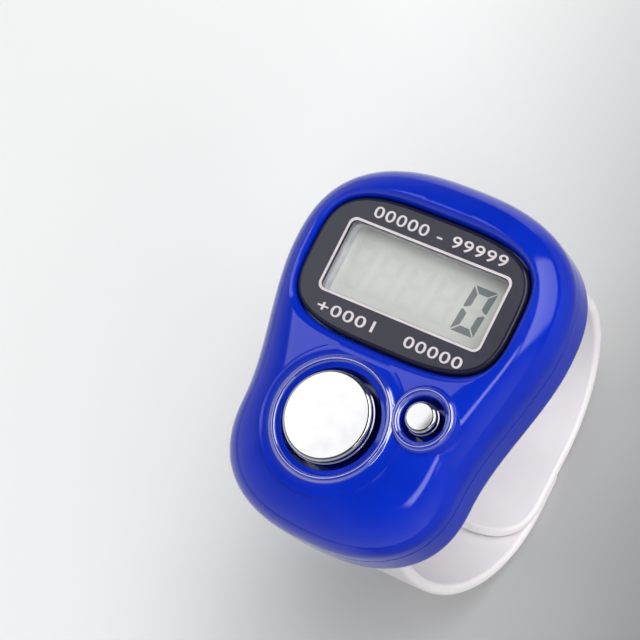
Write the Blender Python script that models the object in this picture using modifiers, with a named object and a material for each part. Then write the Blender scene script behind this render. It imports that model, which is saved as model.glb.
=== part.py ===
"""Digital finger counter on a soft two-strap ring.

Metres, +Z up. The ring's flat underside lies on z = 0, +Z points out of the display,
+Y runs from the buttons to the display, and the finger goes through along X.
Inside the case, heights are counted from the bezel's front face.
"""
import math
import bpy
import bmesh
from mathutils import Vector

MM = 0.001

# Clearances
fit_gap = 0.25 * MM
seam_gap = 0.15 * MM
touch_gap = 0.10 * MM

# Case outline: two superellipse ends joined by waisted flanks
face_height = 45.0 * MM
case_length = 39.5 * MM
display_half_width = 15.6 * MM
display_end_length = 11.9 * MM
display_end_power = 2.55
button_half_width = 12.8 * MM
button_end_length = 10.2 * MM
button_end_power = 2.4
outline_steps = 32

# Front shell, heights from the bezel's front face
crest_height = 0.5 * MM
crest_width_display = 3.6 * MM
crest_width_buttons = 4.4 * MM
shoulder_start = -3.8 * MM
shoulder_power = 2.0
shoulder_steps = 6
parting_height = -4.8 * MM
front_wall = 1.4 * MM
front_cavity_top = -0.9 * MM

# Back cover
back_face = -10.2 * MM
back_edge_radius = 2.4 * MM
back_edge_steps = 5
back_wall = 1.1 * MM
back_side_wall = 1.3 * MM
tongue_height = 1.0 * MM
tongue_wall = 0.6 * MM
tongue_slope = 0.8 * MM
cover_post_root = back_wall / 2

# Display panel
panel_half_width = 12.15 * MM
panel_half_length = 7.5 * MM
panel_power = 3.0
panel_thickness = 1.2 * MM
panel_edge_radius = 0.45 * MM
panel_lip = 0.3 * MM
window_width = 18.6 * MM
window_length = 7.7 * MM
window_corner = 0.7 * MM
lens_margin = 0.7 * MM
lens_thickness = 0.75 * MM
gasket_margin = 0.08 * MM
tape_thickness = 0.2 * MM
tape_margin = 0.2 * MM
recess_flare = 1.0 * MM
recess_web = 0.6 * MM
tray_margin = 0.9 * MM

# Liquid crystal display
lcd_width = 20.2 * MM
lcd_length = 11.6 * MM
lcd_rear_length = 9.9 * MM
lcd_glass = 0.55 * MM
reflector_thickness = 0.15 * MM
lcd_frame_wall = 0.8 * MM
lcd_frame_bar = 0.5 * MM
reflector_margin = 0.2 * MM
zebra_width = 1.1 * MM
zebra_margin = 0.9 * MM

# Buttons, centres counted from the window's centre
count_centre = (-1.15 * MM, -15.8 * MM)
count_radius = 4.7 * MM
count_top = 2.1 * MM
count_travel = 0.8 * MM
count_hole_radius = 5.25 * MM
count_mound_radius = 7.9 * MM
count_flange_radius = 5.9 * MM
count_dome_radius = 3.2 * MM
reset_centre = (7.65 * MM, -12.2 * MM)
reset_radius = 1.65 * MM
reset_top = 1.5 * MM
reset_travel = 0.6 * MM
reset_hole_radius = 2.3 * MM
reset_mound_radius = 4.1 * MM
reset_flange_radius = 2.7 * MM
reset_dome_radius = 1.7 * MM
button_edge = 0.35 * MM
button_crown = 0.08 * MM
flange_thickness = 0.7 * MM
collar_bead_radius = 0.4 * MM
count_bead_ring = 6.15 * MM
reset_bead_ring = 2.9 * MM
count_bead_height = 0.55 * MM
reset_bead_height = 0.45 * MM
collar_chamfer = 0.15 * MM
mound_rise = 0.05 * MM
mound_edge = 0.12 * MM
mound_skirt = 0.6 * MM
collar_wall = 1.0 * MM
collar_depth = -1.6 * MM
dome_wall = 0.45 * MM
dome_skirt = 0.35 * MM
dome_lip = 0.5 * MM
turn_steps = 40

# Circuit board and what is on it
board_top = -4.4 * MM
board_thickness = 0.8 * MM
board_margin = 2.5 * MM
blob_radius = 3.0 * MM
blob_height = 0.9 * MM
blob_to_cell = 10.3 * MM
capacitor_size = (1.6 * MM, 0.8 * MM, 0.8 * MM)
capacitor_centre = (4.2 * MM, -9.2 * MM)

# Button cell and contacts
cell_radius = 5.8 * MM
cell_height = 3.05 * MM
cell_place = (0.0, 1.0 * MM)
contact_thickness = 0.2 * MM
contact_width = 3.0 * MM
cell_edge = 0.4 * MM
cell_step = 0.15 * MM
clip_leg_room = 0.55 * MM
clip_foot = 1.2 * MM
leaf_size = (5.0 * MM, 1.8 * MM)
cradle_height = 1.4 * MM
cradle_wall = 0.7 * MM

# Screws
case_screw_x = 10.7 * MM
case_screw_drop = 9.0 * MM
case_screw_radius = 0.7 * MM
case_screw_head_radius = 1.25 * MM
case_screw_head_height = 0.8 * MM
case_screw_sink = 0.25 * MM
case_boss_radius = 1.6 * MM
case_boss_end = -6.0 * MM
board_screw_display_x = 5.5 * MM
board_screw_display_inset = 3.75 * MM
board_screw_button_x = (-7.0 * MM, 6.6 * MM)
board_screw_button_inset = 6.8 * MM
board_screw_radius = 0.5 * MM
board_screw_head_radius = 0.95 * MM
board_screw_head_height = 0.5 * MM
board_post_radius = 1.0 * MM
thread_gap = 0.1 * MM
post_root = 0.4 * MM
case_pilot_top = -2.4 * MM
board_pilot_top = -1.6 * MM
screw_tip_room = 0.6 * MM

# Ring straps
strap_thickness = 1.3 * MM
strap_gap = 0.3 * MM
strap_edge = 0.35 * MM
upper_root_inset = 4.3 * MM
upper_reach_inset = 0.9 * MM
upper_flat = 3.75 * MM
upper_rise = 14.5 * MM
upper_end_y = -8.25 * MM
upper_half_width = (7.2 * MM, 6.2 * MM)
lower_root_inset = 4.5 * MM
lower_reach_inset = 1.7 * MM
lower_flat = 2.95 * MM
lower_rise = 22.0 * MM
lower_end_y = 5.45 * MM
lower_half_width = (5.8 * MM, 6.0 * MM)
strap_end_taper = 5.5 * MM
strap_end_power = 2.3
strap_steps = 26
strap_end_steps = 7
root_axis = -8.9 * MM
root_bead_radius = 1.5 * MM
channel_roof = 0.8 * MM
channel_end_wall = 1.0 * MM
strap_swing = math.radians(40)
peg_radius = 0.8 * MM
peg_length = 0.9 * MM
peg_y = -2.75 * MM
hole_slack = 1.5 * MM

# Places that follow from the sizes above
half_case = case_length / 2
window_y = half_case - display_end_length
narrow_y = button_end_length - half_case
window_centre = (0.0, window_y)
count_place = (count_centre[0], count_centre[1] + window_y)
reset_place = (reset_centre[0], reset_centre[1] + window_y)
capacitor_place = (capacitor_centre[0], capacitor_centre[1] + window_y)
blob_place = (cell_place[0], cell_place[1] - blob_to_cell)
case_screw_places = [(x, window_y - case_screw_drop) for x in (-case_screw_x, case_screw_x)]
board_screw_places = [
    (x, half_case - board_screw_display_inset) for x in (-board_screw_display_x, board_screw_display_x)
]
board_screw_places += [(x, board_screw_button_inset - half_case) for x in board_screw_button_x]
upper_root_y = half_case - upper_root_inset
lower_root_y = lower_root_inset - half_case
upper_corner = (half_case - upper_reach_inset, upper_flat, upper_rise)
lower_corner = (half_case - lower_reach_inset, lower_flat, lower_rise)
recess_floor = -panel_thickness - tape_thickness - 2 * touch_gap
lens_top = -panel_lip - touch_gap
lcd_seat = recess_floor - recess_web
lcd_top = lcd_seat - fit_gap
lcd_rear_top = lcd_top - lcd_glass - touch_gap
reflector_top = lcd_rear_top - lcd_glass - touch_gap
board_bottom = board_top - board_thickness
back_inner = back_face + back_wall
cover_top = parting_height - seam_gap
side_end = back_face + back_edge_radius
channel_radius = root_bead_radius + strap_gap
channel_top = root_axis + channel_radius + channel_roof
hinge_height = face_height + root_axis
cell_top = board_bottom - contact_thickness - 2 * touch_gap
cell_bottom = cell_top - cell_height
clip_top = cell_bottom - touch_gap
flange_top = collar_depth - fit_gap
flange_bottom = flange_top - flange_thickness


def clear_scene():
    for old in list(bpy.data.objects):
        bpy.data.objects.remove(old, do_unlink=True)


def make_collection(name):
    found = bpy.data.collections.get(name)
    if found is None:
        found = bpy.data.collections.new(name)
        bpy.context.scene.collection.children.link(found)
    return found


clear_scene()
parts = make_collection("finger_counter")
cutters = make_collection("cutters")


def material(name, colour, roughness, metallic=0.0, alpha=1.0):
    made = bpy.data.materials.new(name)
    made.use_nodes = True
    shader = made.node_tree.nodes["Principled BSDF"]
    shader.inputs["Base Color"].default_value = (*colour, 1.0)
    shader.inputs["Roughness"].default_value = roughness
    shader.inputs["Metallic"].default_value = metallic
    shader.inputs["Alpha"].default_value = alpha
    return made


def add_object(name, mesh, finish=None, parent=None):
    """Link a mesh as a part, or as a cutter where it has no finish."""
    made = bpy.data.objects.new(name, mesh)
    if finish is None:
        cutters.objects.link(made)
        made.hide_render = True
        made.display_type = "WIRE"
    else:
        parts.objects.link(made)
        mesh.materials.append(finish)
    made.parent = parent
    return made


def finish_mesh(name, shape):
    bmesh.ops.recalc_face_normals(shape, faces=shape.faces)
    mesh = bpy.data.meshes.new(name)
    shape.to_mesh(mesh)
    shape.free()
    return mesh


def shade(made, angle=40):
    made.data.shade_smooth()
    made.data.set_sharp_from_angle(angle=math.radians(angle))


def boolean(target, tool, operation):
    change = target.modifiers.new(tool.name, "BOOLEAN")
    change.operation = operation
    change.object = tool
    change.solver = "EXACT"


def cut(target, *tools):
    for tool in tools:
        boolean(target, tool, "DIFFERENCE")


def join(target, *tools):
    for tool in tools:
        boolean(target, tool, "UNION")


def box(name, size, centre, finish=None, parent=None):
    shape = bmesh.new()
    bmesh.ops.create_cube(shape, size=1.0)
    bmesh.ops.scale(shape, vec=size, verts=shape.verts)
    made = add_object(name, finish_mesh(name, shape), finish, parent)
    made.location = centre
    return made


def cylinder(name, radius, low, high, place, finish=None, parent=None, steps=20):
    shape = bmesh.new()
    bmesh.ops.create_cone(
        shape, cap_ends=True, segments=steps, radius1=radius, radius2=radius, depth=high - low
    )
    made = add_object(name, finish_mesh(name, shape), finish, parent)
    made.location = (place[0], place[1], (low + high) / 2)
    return made


def turned(name, profile, place, finish=None, parent=None, steps=turn_steps, closed=False):
    """Turn a profile of (radius, height) points round Z; closed joins its two ends."""
    mesh = bpy.data.meshes.new(name)
    edges = [(i, i + 1) for i in range(len(profile) - 1)]
    if closed:
        edges.append((len(profile) - 1, 0))
    mesh.from_pydata([(radius, 0.0, height) for radius, height in profile], edges, [])
    made = add_object(name, mesh, finish, parent)
    made.location = (*place, 0.0)
    turn = made.modifiers.new("turn", "SCREW")
    turn.steps = steps
    turn.render_steps = steps
    turn.use_merge_vertices = True
    turn.merge_threshold = 0.00001
    bpy.context.view_layer.update()
    graph = bpy.context.evaluated_depsgraph_get()
    solid = bpy.data.meshes.new_from_object(made.evaluated_get(graph))
    shape = bmesh.new()
    shape.from_mesh(solid)
    bmesh.ops.remove_doubles(shape, verts=shape.verts, dist=0.000005)
    bmesh.ops.recalc_face_normals(shape, faces=shape.faces)
    shape.to_mesh(solid)
    shape.free()
    made.modifiers.clear()
    made.data = solid
    bpy.data.meshes.remove(mesh)
    return made


def arc(centre, radius, start, end, steps):
    """Points on an arc, angles in degrees."""
    points = []
    for i in range(steps + 1):
        angle = math.radians(start + (end - start) * i / steps)
        points.append((centre[0] + radius * math.cos(angle), centre[1] + radius * math.sin(angle)))
    return points


# Outlines


def superellipse(half_width, half_length, power, steps=24):
    """A quarter, from its tip on Y to its flank on X."""
    points = []
    for i in range(steps + 1):
        angle = math.pi / 2 * i / steps
        x = half_width * math.sin(angle) ** (2 / power)
        y = half_length * max(math.cos(angle), 0.0) ** (2 / power)
        points.append((x, y))
    return points


def points_at(points, shares):
    """Points at these shares of a line's length."""
    lengths = [0.0]
    for a, b in zip(points, points[1:]):
        lengths.append(lengths[-1] + math.dist(a, b))
    found = []
    segment = 0
    for share in shares:
        wanted = lengths[-1] * share
        while segment < len(points) - 2 and lengths[segment + 1] < wanted:
            segment += 1
        span = lengths[segment + 1] - lengths[segment]
        part = min(max((wanted - lengths[segment]) / span, 0.0), 1.0)
        a, b = points[segment], points[segment + 1]
        found.append(tuple(p + (q - p) * part for p, q in zip(a, b)))
    return found


def even_points(points, count):
    """Share out count steps evenly along a line of points."""
    return points_at(points, [i / count for i in range(count + 1)])


def mirrored(half):
    """Close a right half, listed from the top tip to the bottom tip."""
    return half + [(-x, y) for x, y in reversed(half[1:-1])]


def pear(wide, wide_length, narrow, narrow_length):
    """The case's outline with these half widths and end lengths."""
    top = [(x, window_y + y) for x, y in superellipse(wide, wide_length, display_end_power)]
    flank = []
    flank_steps = 16
    for i in range(1, flank_steps):
        part = i / flank_steps
        waist = part * part * (3 - 2 * part)
        flank.append((wide + (narrow - wide) * waist, window_y + (narrow_y - window_y) * part))
    bottom = [(x, narrow_y - y) for x, y in superellipse(narrow, narrow_length, button_end_power)]
    return mirrored(even_points(top + flank + bottom[::-1], outline_steps))


def inset(outline, distance):
    """Move an outline inwards along its normals; it runs clockwise seen from the front."""
    moved = []
    count = len(outline)
    for i, (x, y) in enumerate(outline):
        before, after = outline[i - 1], outline[(i + 1) % count]
        run = (after[0] - before[0], after[1] - before[1])
        length = math.hypot(*run)
        moved.append((x + run[1] / length * distance, y - run[0] / length * distance))
    return moved


def oval(half_width, half_length, power, centre, steps=12):
    """A closed superellipse."""
    quarter = superellipse(half_width, half_length, power)
    half = quarter + [(x, -y) for x, y in quarter[-2::-1]]
    return [(x + centre[0], y + centre[1]) for x, y in mirrored(even_points(half, 2 * steps))]


def rounded_box(width, length, corner, centre, steps=4):
    """A closed rectangle with round corners."""
    x, y = width / 2 - corner, length / 2 - corner
    points = []
    for corner_x, corner_y, start in ((x, y, 90), (x, -y, 0), (-x, -y, -90), (-x, y, -180)):
        points += arc((corner_x + centre[0], corner_y + centre[1]), corner, start, start - 90, steps)
    return points


def between(outer, inner, part):
    return [(a + (c - a) * part, b + (d - b) * part) for (a, b), (c, d) in zip(outer, inner)]


def loft(name, sections, finish=None, parent=None):
    """A closed solid through (outline, height) sections, flat at both ends."""
    shape = bmesh.new()
    rings = []
    for outline, height in sections:
        rings.append([shape.verts.new((x, y, height)) for x, y in outline])
    for low, high in zip(rings, rings[1:]):
        for i in range(len(low)):
            j = (i + 1) % len(low)
            shape.faces.new((low[i], low[j], high[j], high[i]))
    shape.faces.new(rings[0])
    shape.faces.new(rings[-1])
    return add_object(name, finish_mesh(name, shape), finish, parent)


def plate(name, outline, low, high, finish=None, parent=None, hole=None):
    """A flat plate with this outline, and an opening of the same number of points."""
    made = loft(name, [(outline, low), (outline, high)], finish, parent)
    if hole:
        cut(made, loft(name + "_hole", [(hole, low - MM), (hole, high + MM)], None, parent))
    return made


# Finishes, colours as the photograph shows them
blue = material("blue_plastic", (0.004, 0.025, 0.46), 0.16)
black = material("black_panel", (0.012, 0.012, 0.014), 0.12)
clear = material("clear_window", (0.9, 0.92, 0.92), 0.05, alpha=0.25)
glass = material("lcd_glass", (0.75, 0.78, 0.72), 0.05, alpha=0.45)
foil = material("reflector_foil", (0.56, 0.58, 0.53), 0.45, 0.3)
frosted = material("frosted_strap", (0.83, 0.80, 0.80), 0.35, alpha=0.8)
chrome = material("chrome", (0.88, 0.88, 0.9), 0.04, 1.0)
steel = material("steel", (0.6, 0.6, 0.6), 0.3, 1.0)
rubber = material("grey_rubber", (0.30, 0.30, 0.30), 0.7)
striped = material("zebra_rubber", (0.55, 0.35, 0.38), 0.6)
white_plastic = material("white_plastic", (0.75, 0.75, 0.72), 0.45)
board_green = material("board", (0.02, 0.16, 0.06), 0.4)
epoxy = material("epoxy", (0.015, 0.015, 0.015), 0.3)
ceramic = material("capacitor", (0.45, 0.30, 0.16), 0.4)
adhesive = material("tape", (0.10, 0.10, 0.10), 0.6)
foam = material("grey_foam", (0.42, 0.42, 0.43), 0.8)

case_frame = bpy.data.objects.new("case_frame", None)
parts.objects.link(case_frame)
case_frame.location = (0.0, 0.0, face_height)

case_outline = pear(display_half_width, display_end_length, button_half_width, button_end_length)
crest_outline = pear(
    display_half_width - crest_width_display, display_end_length - crest_width_display,
    button_half_width - crest_width_buttons, button_end_length - crest_width_buttons,
)
panel_outline = oval(panel_half_width, panel_half_length, panel_power, window_centre)
window_outline = rounded_box(window_width, window_length, window_corner, window_centre)


def shoulder(depth, start, top, drop=0.0):
    """Sections of the rounded shoulder from the side wall to the crest."""
    outer = inset(case_outline, depth)
    inner = inset(crest_outline, drop)
    sections = []
    for i in range(shoulder_steps + 1):
        angle = math.pi / 2 * i / shoulder_steps
        part = 1 - max(math.cos(angle), 0.0) ** (2 / shoulder_power)
        rise = math.sin(angle) ** (2 / shoulder_power)
        sections.append((between(outer, inner, part), start + (top - start) * rise))
    return sections


def collar(name, place, hole_radius, bead_ring, bead_height, mound_radius):
    """Raised mound, bead and guide tube round a button, without its hole."""
    bead = (bead_ring, crest_height + bead_height - collar_bead_radius)
    tube = hole_radius + collar_wall
    foot = crest_height + mound_rise
    base = mound_radius + mound_skirt
    inside = hole_radius - fit_gap
    profile = [
        (inside, collar_depth),
        (inside, bead[1] - mound_edge),
        (hole_radius + collar_chamfer, bead[1] + mound_edge),
    ]
    profile += arc(bead, collar_bead_radius, 140, 20, 5)
    profile += [
        (bead_ring + 1.4 * collar_bead_radius, foot + 0.3 * bead_height),
        ((bead_ring + mound_radius) / 2, foot + 0.15 * bead_height),
        (mound_radius - mound_edge, foot),
        (base, foot - mound_skirt),
        (base, front_cavity_top),
        (tube, front_cavity_top),
        (tube, collar_depth),
    ]
    return turned(name, profile, place, None, case_frame, closed=True)


def bore(name, radius, place):
    """Button hole, turned half a step so that its edges miss those of its collar."""
    made = cylinder(name, radius, -3 * MM, 3 * MM, place, None, case_frame, steps=turn_steps)
    made.rotation_euler.z = math.pi / turn_steps
    return made


def front_shell():
    skirt = [(case_outline, parting_height)]
    made = loft("front_shell", skirt + shoulder(0.0, shoulder_start, crest_height), blue, case_frame)

    inner = inset(case_outline, front_wall)
    hollow = [(inner, parting_height - MM)]
    hollow += shoulder(front_wall, shoulder_start, front_cavity_top, front_wall / 2)[::2]
    cut(made, loft("front_hollow", hollow, None, case_frame))

    tray = oval(panel_half_width + tray_margin, panel_half_length + tray_margin, panel_power,
                window_centre)
    join(made, loft("panel_tray", [(tray, lcd_seat), (tray, 0.0)], None, case_frame))
    join(made, collar("count_collar", count_place, count_hole_radius, count_bead_ring,
                      count_bead_height, count_mound_radius))
    join(made, collar("reset_collar", reset_place, reset_hole_radius, reset_bead_ring,
                      reset_bead_height, reset_mound_radius))

    for number, place in enumerate(board_screw_places):
        post = cylinder(f"board_post_{number}", board_post_radius, board_top + fit_gap,
                        front_cavity_top + post_root, place, None, case_frame, steps=14)
        join(made, post)
    for number, place in enumerate(case_screw_places):
        post = cylinder(f"case_boss_{number}", case_boss_radius, case_boss_end,
                        front_cavity_top + post_root, place, None, case_frame, steps=16)
        join(made, post)

    seat = oval(panel_half_width + seam_gap, panel_half_length + seam_gap, panel_power,
                window_centre)
    mouth = oval(panel_half_width + recess_flare, panel_half_length + recess_flare, panel_power,
                 window_centre)
    rise = crest_height + panel_edge_radius
    recess = [
        (seat, recess_floor),
        (seat, -panel_edge_radius),
        (between(seat, mouth, 0.35), -panel_edge_radius + 0.45 * rise),
        (between(seat, mouth, 0.75), -panel_edge_radius + 0.85 * rise),
        (mouth, crest_height),
        (mouth, crest_height + MM),
    ]
    cut(made, loft("panel_recess", recess, None, case_frame))
    opening = rounded_box(window_width + 2 * lens_margin, window_length + 2 * lens_margin,
                          window_corner, window_centre)
    cut(made, loft("window_opening", [(opening, lcd_seat - MM), (opening, 0.0)], None, case_frame))

    cut(made, bore("count_hole", count_hole_radius, count_place))
    cut(made, bore("reset_hole", reset_hole_radius, reset_place))
    for number, place in enumerate(board_screw_places):
        cut(made, cylinder(f"board_pilot_{number}", board_screw_radius + thread_gap, board_top - MM,
                           board_pilot_top, place, None, case_frame, steps=10))
    for number, place in enumerate(case_screw_places):
        cut(made, cylinder(f"case_pilot_{number}", case_screw_radius + thread_gap, case_boss_end - MM,
                           case_pilot_top, place, None, case_frame, steps=10))
    shade(made, 35)
    return made


def channel(name, root_y, half_width, swing):
    """Round groove that holds a strap's bead, with a mouth as wide as the strap's swing."""
    shape = bmesh.new()
    length = 2 * (half_width + strap_gap)
    bmesh.ops.create_cone(shape, cap_ends=True, segments=20, radius1=channel_radius,
                          radius2=channel_radius, depth=length)
    groove = add_object(name + "_groove", finish_mesh(name + "_groove", shape), None, case_frame)
    groove.rotation_euler = (0.0, math.pi / 2, 0.0)
    groove.location = (0.0, root_y, root_axis)

    side = 1.0 if root_y > 0 else -1.0
    room = strap_thickness / 2 + strap_gap
    reach = 5 * MM
    first = math.atan(strap_lean(root_y))
    last = first + swing
    fan = [(-room * math.cos(first), -room * math.sin(first))]
    steps = 4
    for i in range(steps + 1):
        angle = first + (last - first) * i / steps
        shift = room * (2 * i / steps - 1)
        fan.append((reach * math.sin(angle) + shift * math.cos(angle),
                    shift * math.sin(angle) - reach * math.cos(angle)))
    fan.append((room * math.cos(last), room * math.sin(last)))
    fan = [(side * y, z) for y, z in fan]
    shape = bmesh.new()
    ends = []
    for x in (-length / 2, length / 2):
        ends.append([shape.verts.new((x, y, z)) for y, z in fan])
        shape.faces.new(ends[-1])
    for i in range(len(fan)):
        j = (i + 1) % len(fan)
        shape.faces.new((ends[0][i], ends[0][j], ends[1][j], ends[1][i]))
    mouth = add_object(name + "_mouth", finish_mesh(name + "_mouth", shape), None, case_frame)
    mouth.location = (0.0, root_y, root_axis)
    return groove, mouth


def strap_lean(root_y):
    """How far a strap's arm runs outwards for each metre that it comes down."""
    corner = upper_corner if root_y > 0 else lower_corner
    return (corner[0] - abs(root_y)) / (hinge_height - corner[2])


def back_cover():
    sections = []
    for i in range(back_edge_steps + 1):
        angle = math.pi / 2 * i / back_edge_steps
        depth = back_edge_radius * (1 - math.sin(angle))
        sections.append((inset(case_outline, depth), side_end - back_edge_radius * math.cos(angle)))
    tongue = front_wall + seam_gap
    sections += [
        (case_outline, cover_top),
        (inset(case_outline, tongue), cover_top),
        (inset(case_outline, tongue), cover_top + tongue_height),
    ]
    made = loft("back_cover", sections, blue, case_frame)

    rim = inset(case_outline, tongue + tongue_wall)
    side = inset(case_outline, back_side_wall)
    floor = inset(case_outline, back_edge_radius)
    hollow = [
        (floor, back_inner), (side, side_end), (side, cover_top - 2 * tongue_slope),
        (rim, cover_top - tongue_slope), (rim, cover_top + 2 * tongue_height),
    ]
    cut(made, loft("back_hollow", hollow, None, case_frame))

    for name, root_y, half_width in (
        ("upper_block", upper_root_y, upper_half_width[0]),
        ("lower_block", lower_root_y, lower_half_width[0]),
    ):
        width = 2 * (half_width + strap_gap + channel_end_wall)
        length = 2 * (channel_radius + channel_roof)
        height = channel_top - back_inner + cover_post_root
        block = box(name, (width, length, height),
                    (0.0, root_y, channel_top - height / 2), None, case_frame)
        join(made, block)

    for number, place in enumerate(case_screw_places):
        post = cylinder(f"cover_post_{number}", case_boss_radius, back_inner - cover_post_root,
                        case_boss_end - seam_gap, place, None, case_frame, steps=16)
        join(made, post)
        cut(made, cylinder(f"boss_room_{number}", case_boss_radius + fit_gap,
                           case_boss_end - seam_gap, cover_top + 2 * tongue_height, place, None,
                           case_frame, steps=16))
    inner, outer = cell_radius + fit_gap, cell_radius + fit_gap + cradle_wall
    foot, lip = back_inner - cover_post_root, cell_bottom + cradle_height
    cradle = [(inner, foot), (inner, lip), (outer, lip), (outer, foot)]
    ring = turned("cell_cradle", cradle, cell_place, None, case_frame, steps=32, closed=True)
    cut(ring, box("cradle_notch", (4 * cell_radius, contact_width + 2 * fit_gap, 2 * cell_radius),
                  (cell_place[0], cell_place[1], cell_bottom), None, case_frame))
    join(made, ring)

    cut(made, *channel("upper_channel", upper_root_y, upper_half_width[0], 0.0))
    cut(made, *channel("lower_channel", lower_root_y, lower_half_width[0], strap_swing))
    head_floor = back_face + case_screw_sink + case_screw_head_height + touch_gap
    for number, place in enumerate(case_screw_places):
        cut(made, cylinder(f"head_sink_{number}", case_screw_head_radius + touch_gap,
                           back_face - MM, head_floor, place, None, case_frame, steps=20))
        cut(made, cylinder(f"shank_hole_{number}", case_screw_radius + thread_gap,
                           back_face - MM, case_boss_end + MM, place, None, case_frame, steps=12))
    shade(made, 35)
    return made


def display_panel():
    top_steps = 3
    sections = [(panel_outline, -panel_thickness)]
    for i in range(top_steps + 1):
        angle = math.pi / 2 * i / top_steps
        depth = panel_edge_radius * (1 - math.cos(angle))
        sections.append((inset(panel_outline, depth),
                         -panel_edge_radius + panel_edge_radius * math.sin(angle)))
    bezel = loft("display_bezel", sections, black, case_frame)
    cut(bezel, loft("bezel_window", [(window_outline, -3 * MM), (window_outline, MM)], None,
                    case_frame))
    pocket = rounded_box(window_width + 2 * lens_margin, window_length + 2 * lens_margin,
                         window_corner, window_centre)
    cut(bezel, loft("lens_pocket", [(pocket, -3 * MM), (pocket, -panel_lip)], None, case_frame))
    shade(bezel, 35)

    lens_size = 2 * (lens_margin - touch_gap)
    lens_outline = rounded_box(window_width + lens_size, window_length + lens_size,
                               window_corner - touch_gap, window_centre)
    plate("display_window", lens_outline, lens_top - lens_thickness, lens_top, clear, case_frame)

    tape_top = -panel_thickness - touch_gap
    tape = oval(panel_half_width - tape_margin, panel_half_length - tape_margin, panel_power,
                window_centre)
    plate("bezel_tape", tape, tape_top - tape_thickness, tape_top, adhesive, case_frame, hole=pocket)

    gasket_size = 2 * (lens_margin - fit_gap)
    gasket = rounded_box(window_width + gasket_size, window_length + gasket_size, window_corner,
                         window_centre)
    gasket_hole = rounded_box(window_width + 2 * gasket_margin, window_length + 2 * gasket_margin,
                              window_corner, window_centre)
    plate("window_gasket", gasket, lcd_top + touch_gap, lens_top - lens_thickness - touch_gap, foam,
          case_frame, hole=gasket_hole)


def liquid_crystal():
    """Front glass with its contact ledge, rear glass, foil, holding frame and rubber connector."""
    x, y = window_centre
    box("lcd_front_glass", (lcd_width, lcd_length, lcd_glass),
        (x, y, lcd_top - lcd_glass / 2), glass, case_frame)
    rear_y = y + (lcd_length - lcd_rear_length) / 2
    box("lcd_rear_glass", (lcd_width, lcd_rear_length, lcd_glass),
        (x, rear_y, lcd_rear_top - lcd_glass / 2), glass, case_frame)
    box("lcd_reflector", (lcd_width - 2 * reflector_margin, lcd_rear_length - 2 * reflector_margin,
                          reflector_thickness),
        (x, rear_y, reflector_top - reflector_thickness / 2), foil, case_frame)

    inner = (lcd_width + 2 * fit_gap, lcd_length + 2 * fit_gap)
    outer = (inner[0] + 2 * lcd_frame_wall, inner[1] + 2 * lcd_frame_wall)
    low, high = board_top + touch_gap, lcd_seat - fit_gap
    frame = box("lcd_frame", (*outer, high - low), (x, y, (low + high) / 2), white_plastic, case_frame)
    cut(frame, box("lcd_frame_inside", (*inner, 4 * (high - low)), (x, y, low), None, case_frame))
    zebra_y = y - lcd_length / 2 + zebra_width / 2 + touch_gap
    bar_y = zebra_y + zebra_width / 2 + touch_gap + lcd_frame_bar / 2
    bar_top = reflector_top - reflector_thickness - touch_gap
    join(frame, box("lcd_frame_bar", (inner[0] + lcd_frame_wall, lcd_frame_bar, bar_top - low),
                    (x, bar_y, (low + bar_top) / 2), None, case_frame))

    zebra_top = lcd_top - lcd_glass - touch_gap
    box("zebra_strip", (lcd_width - 2 * zebra_margin, zebra_width, zebra_top - low),
        (x, zebra_y, (zebra_top + low) / 2), striped, case_frame)


def button(name, place, radius, top, flange_radius, dome_radius, travel):
    """Chrome cap with its retaining flange, and the rubber dome below it."""
    edge = arc((radius - button_edge, top - button_crown - button_edge), button_edge, 90, 0, 4)
    profile = [(0.0, top), (radius / 2, top - button_crown / 4)] + edge
    profile += [
        (radius, flange_top),
        (flange_radius, flange_top),
        (flange_radius, flange_bottom),
        (0.0, flange_bottom),
    ]
    cap = turned(name, [(r, z - top) for r, z in profile], place, chrome, case_frame)
    cap.location.z = top
    shade(cap)

    dome_top = flange_bottom - touch_gap
    foot = board_top + touch_gap
    top_radius = dome_radius * 0.45
    profile = [
        (0.0, dome_top), (top_radius, dome_top), (dome_radius - dome_lip, foot + dome_skirt),
        (dome_radius, foot + dome_skirt), (dome_radius, foot),
        (dome_radius - dome_lip - dome_wall, foot),
        (top_radius - dome_wall / 2, dome_top - travel), (0.0, dome_top - travel),
    ]
    dome = turned(name.replace("button", "dome"), profile, place, rubber, case_frame, steps=24)
    shade(dome)


def circuit_board():
    outline = inset(case_outline, board_margin)[::2]
    board = plate("circuit_board", outline, board_bottom, board_top, board_green, case_frame)
    for number, place in enumerate(board_screw_places):
        cut(board, cylinder(f"board_hole_{number}", board_screw_radius + thread_gap, board_bottom - MM,
                            board_top + MM, place, None, case_frame, steps=10))
    for number, place in enumerate(case_screw_places):
        cut(board, cylinder(f"board_notch_{number}", case_boss_radius + fit_gap, board_bottom - MM,
                            board_top + MM, place, None, case_frame, steps=16))
    blob_bottom = board_bottom - touch_gap
    profile = [(0.0, blob_bottom), (blob_radius, blob_bottom)]
    steps = 4
    for i in range(1, steps + 1):
        angle = math.pi / 2 * i / steps
        profile.append((blob_radius * math.cos(angle), blob_bottom - blob_height * math.sin(angle)))
    profile[-1] = (0.0, blob_bottom - blob_height)
    shade(turned("chip_blob", profile, blob_place, epoxy, case_frame, steps=20))
    box("capacitor", capacitor_size,
        (*capacitor_place, board_top + touch_gap + capacitor_size[2] / 2), ceramic, case_frame)


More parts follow.
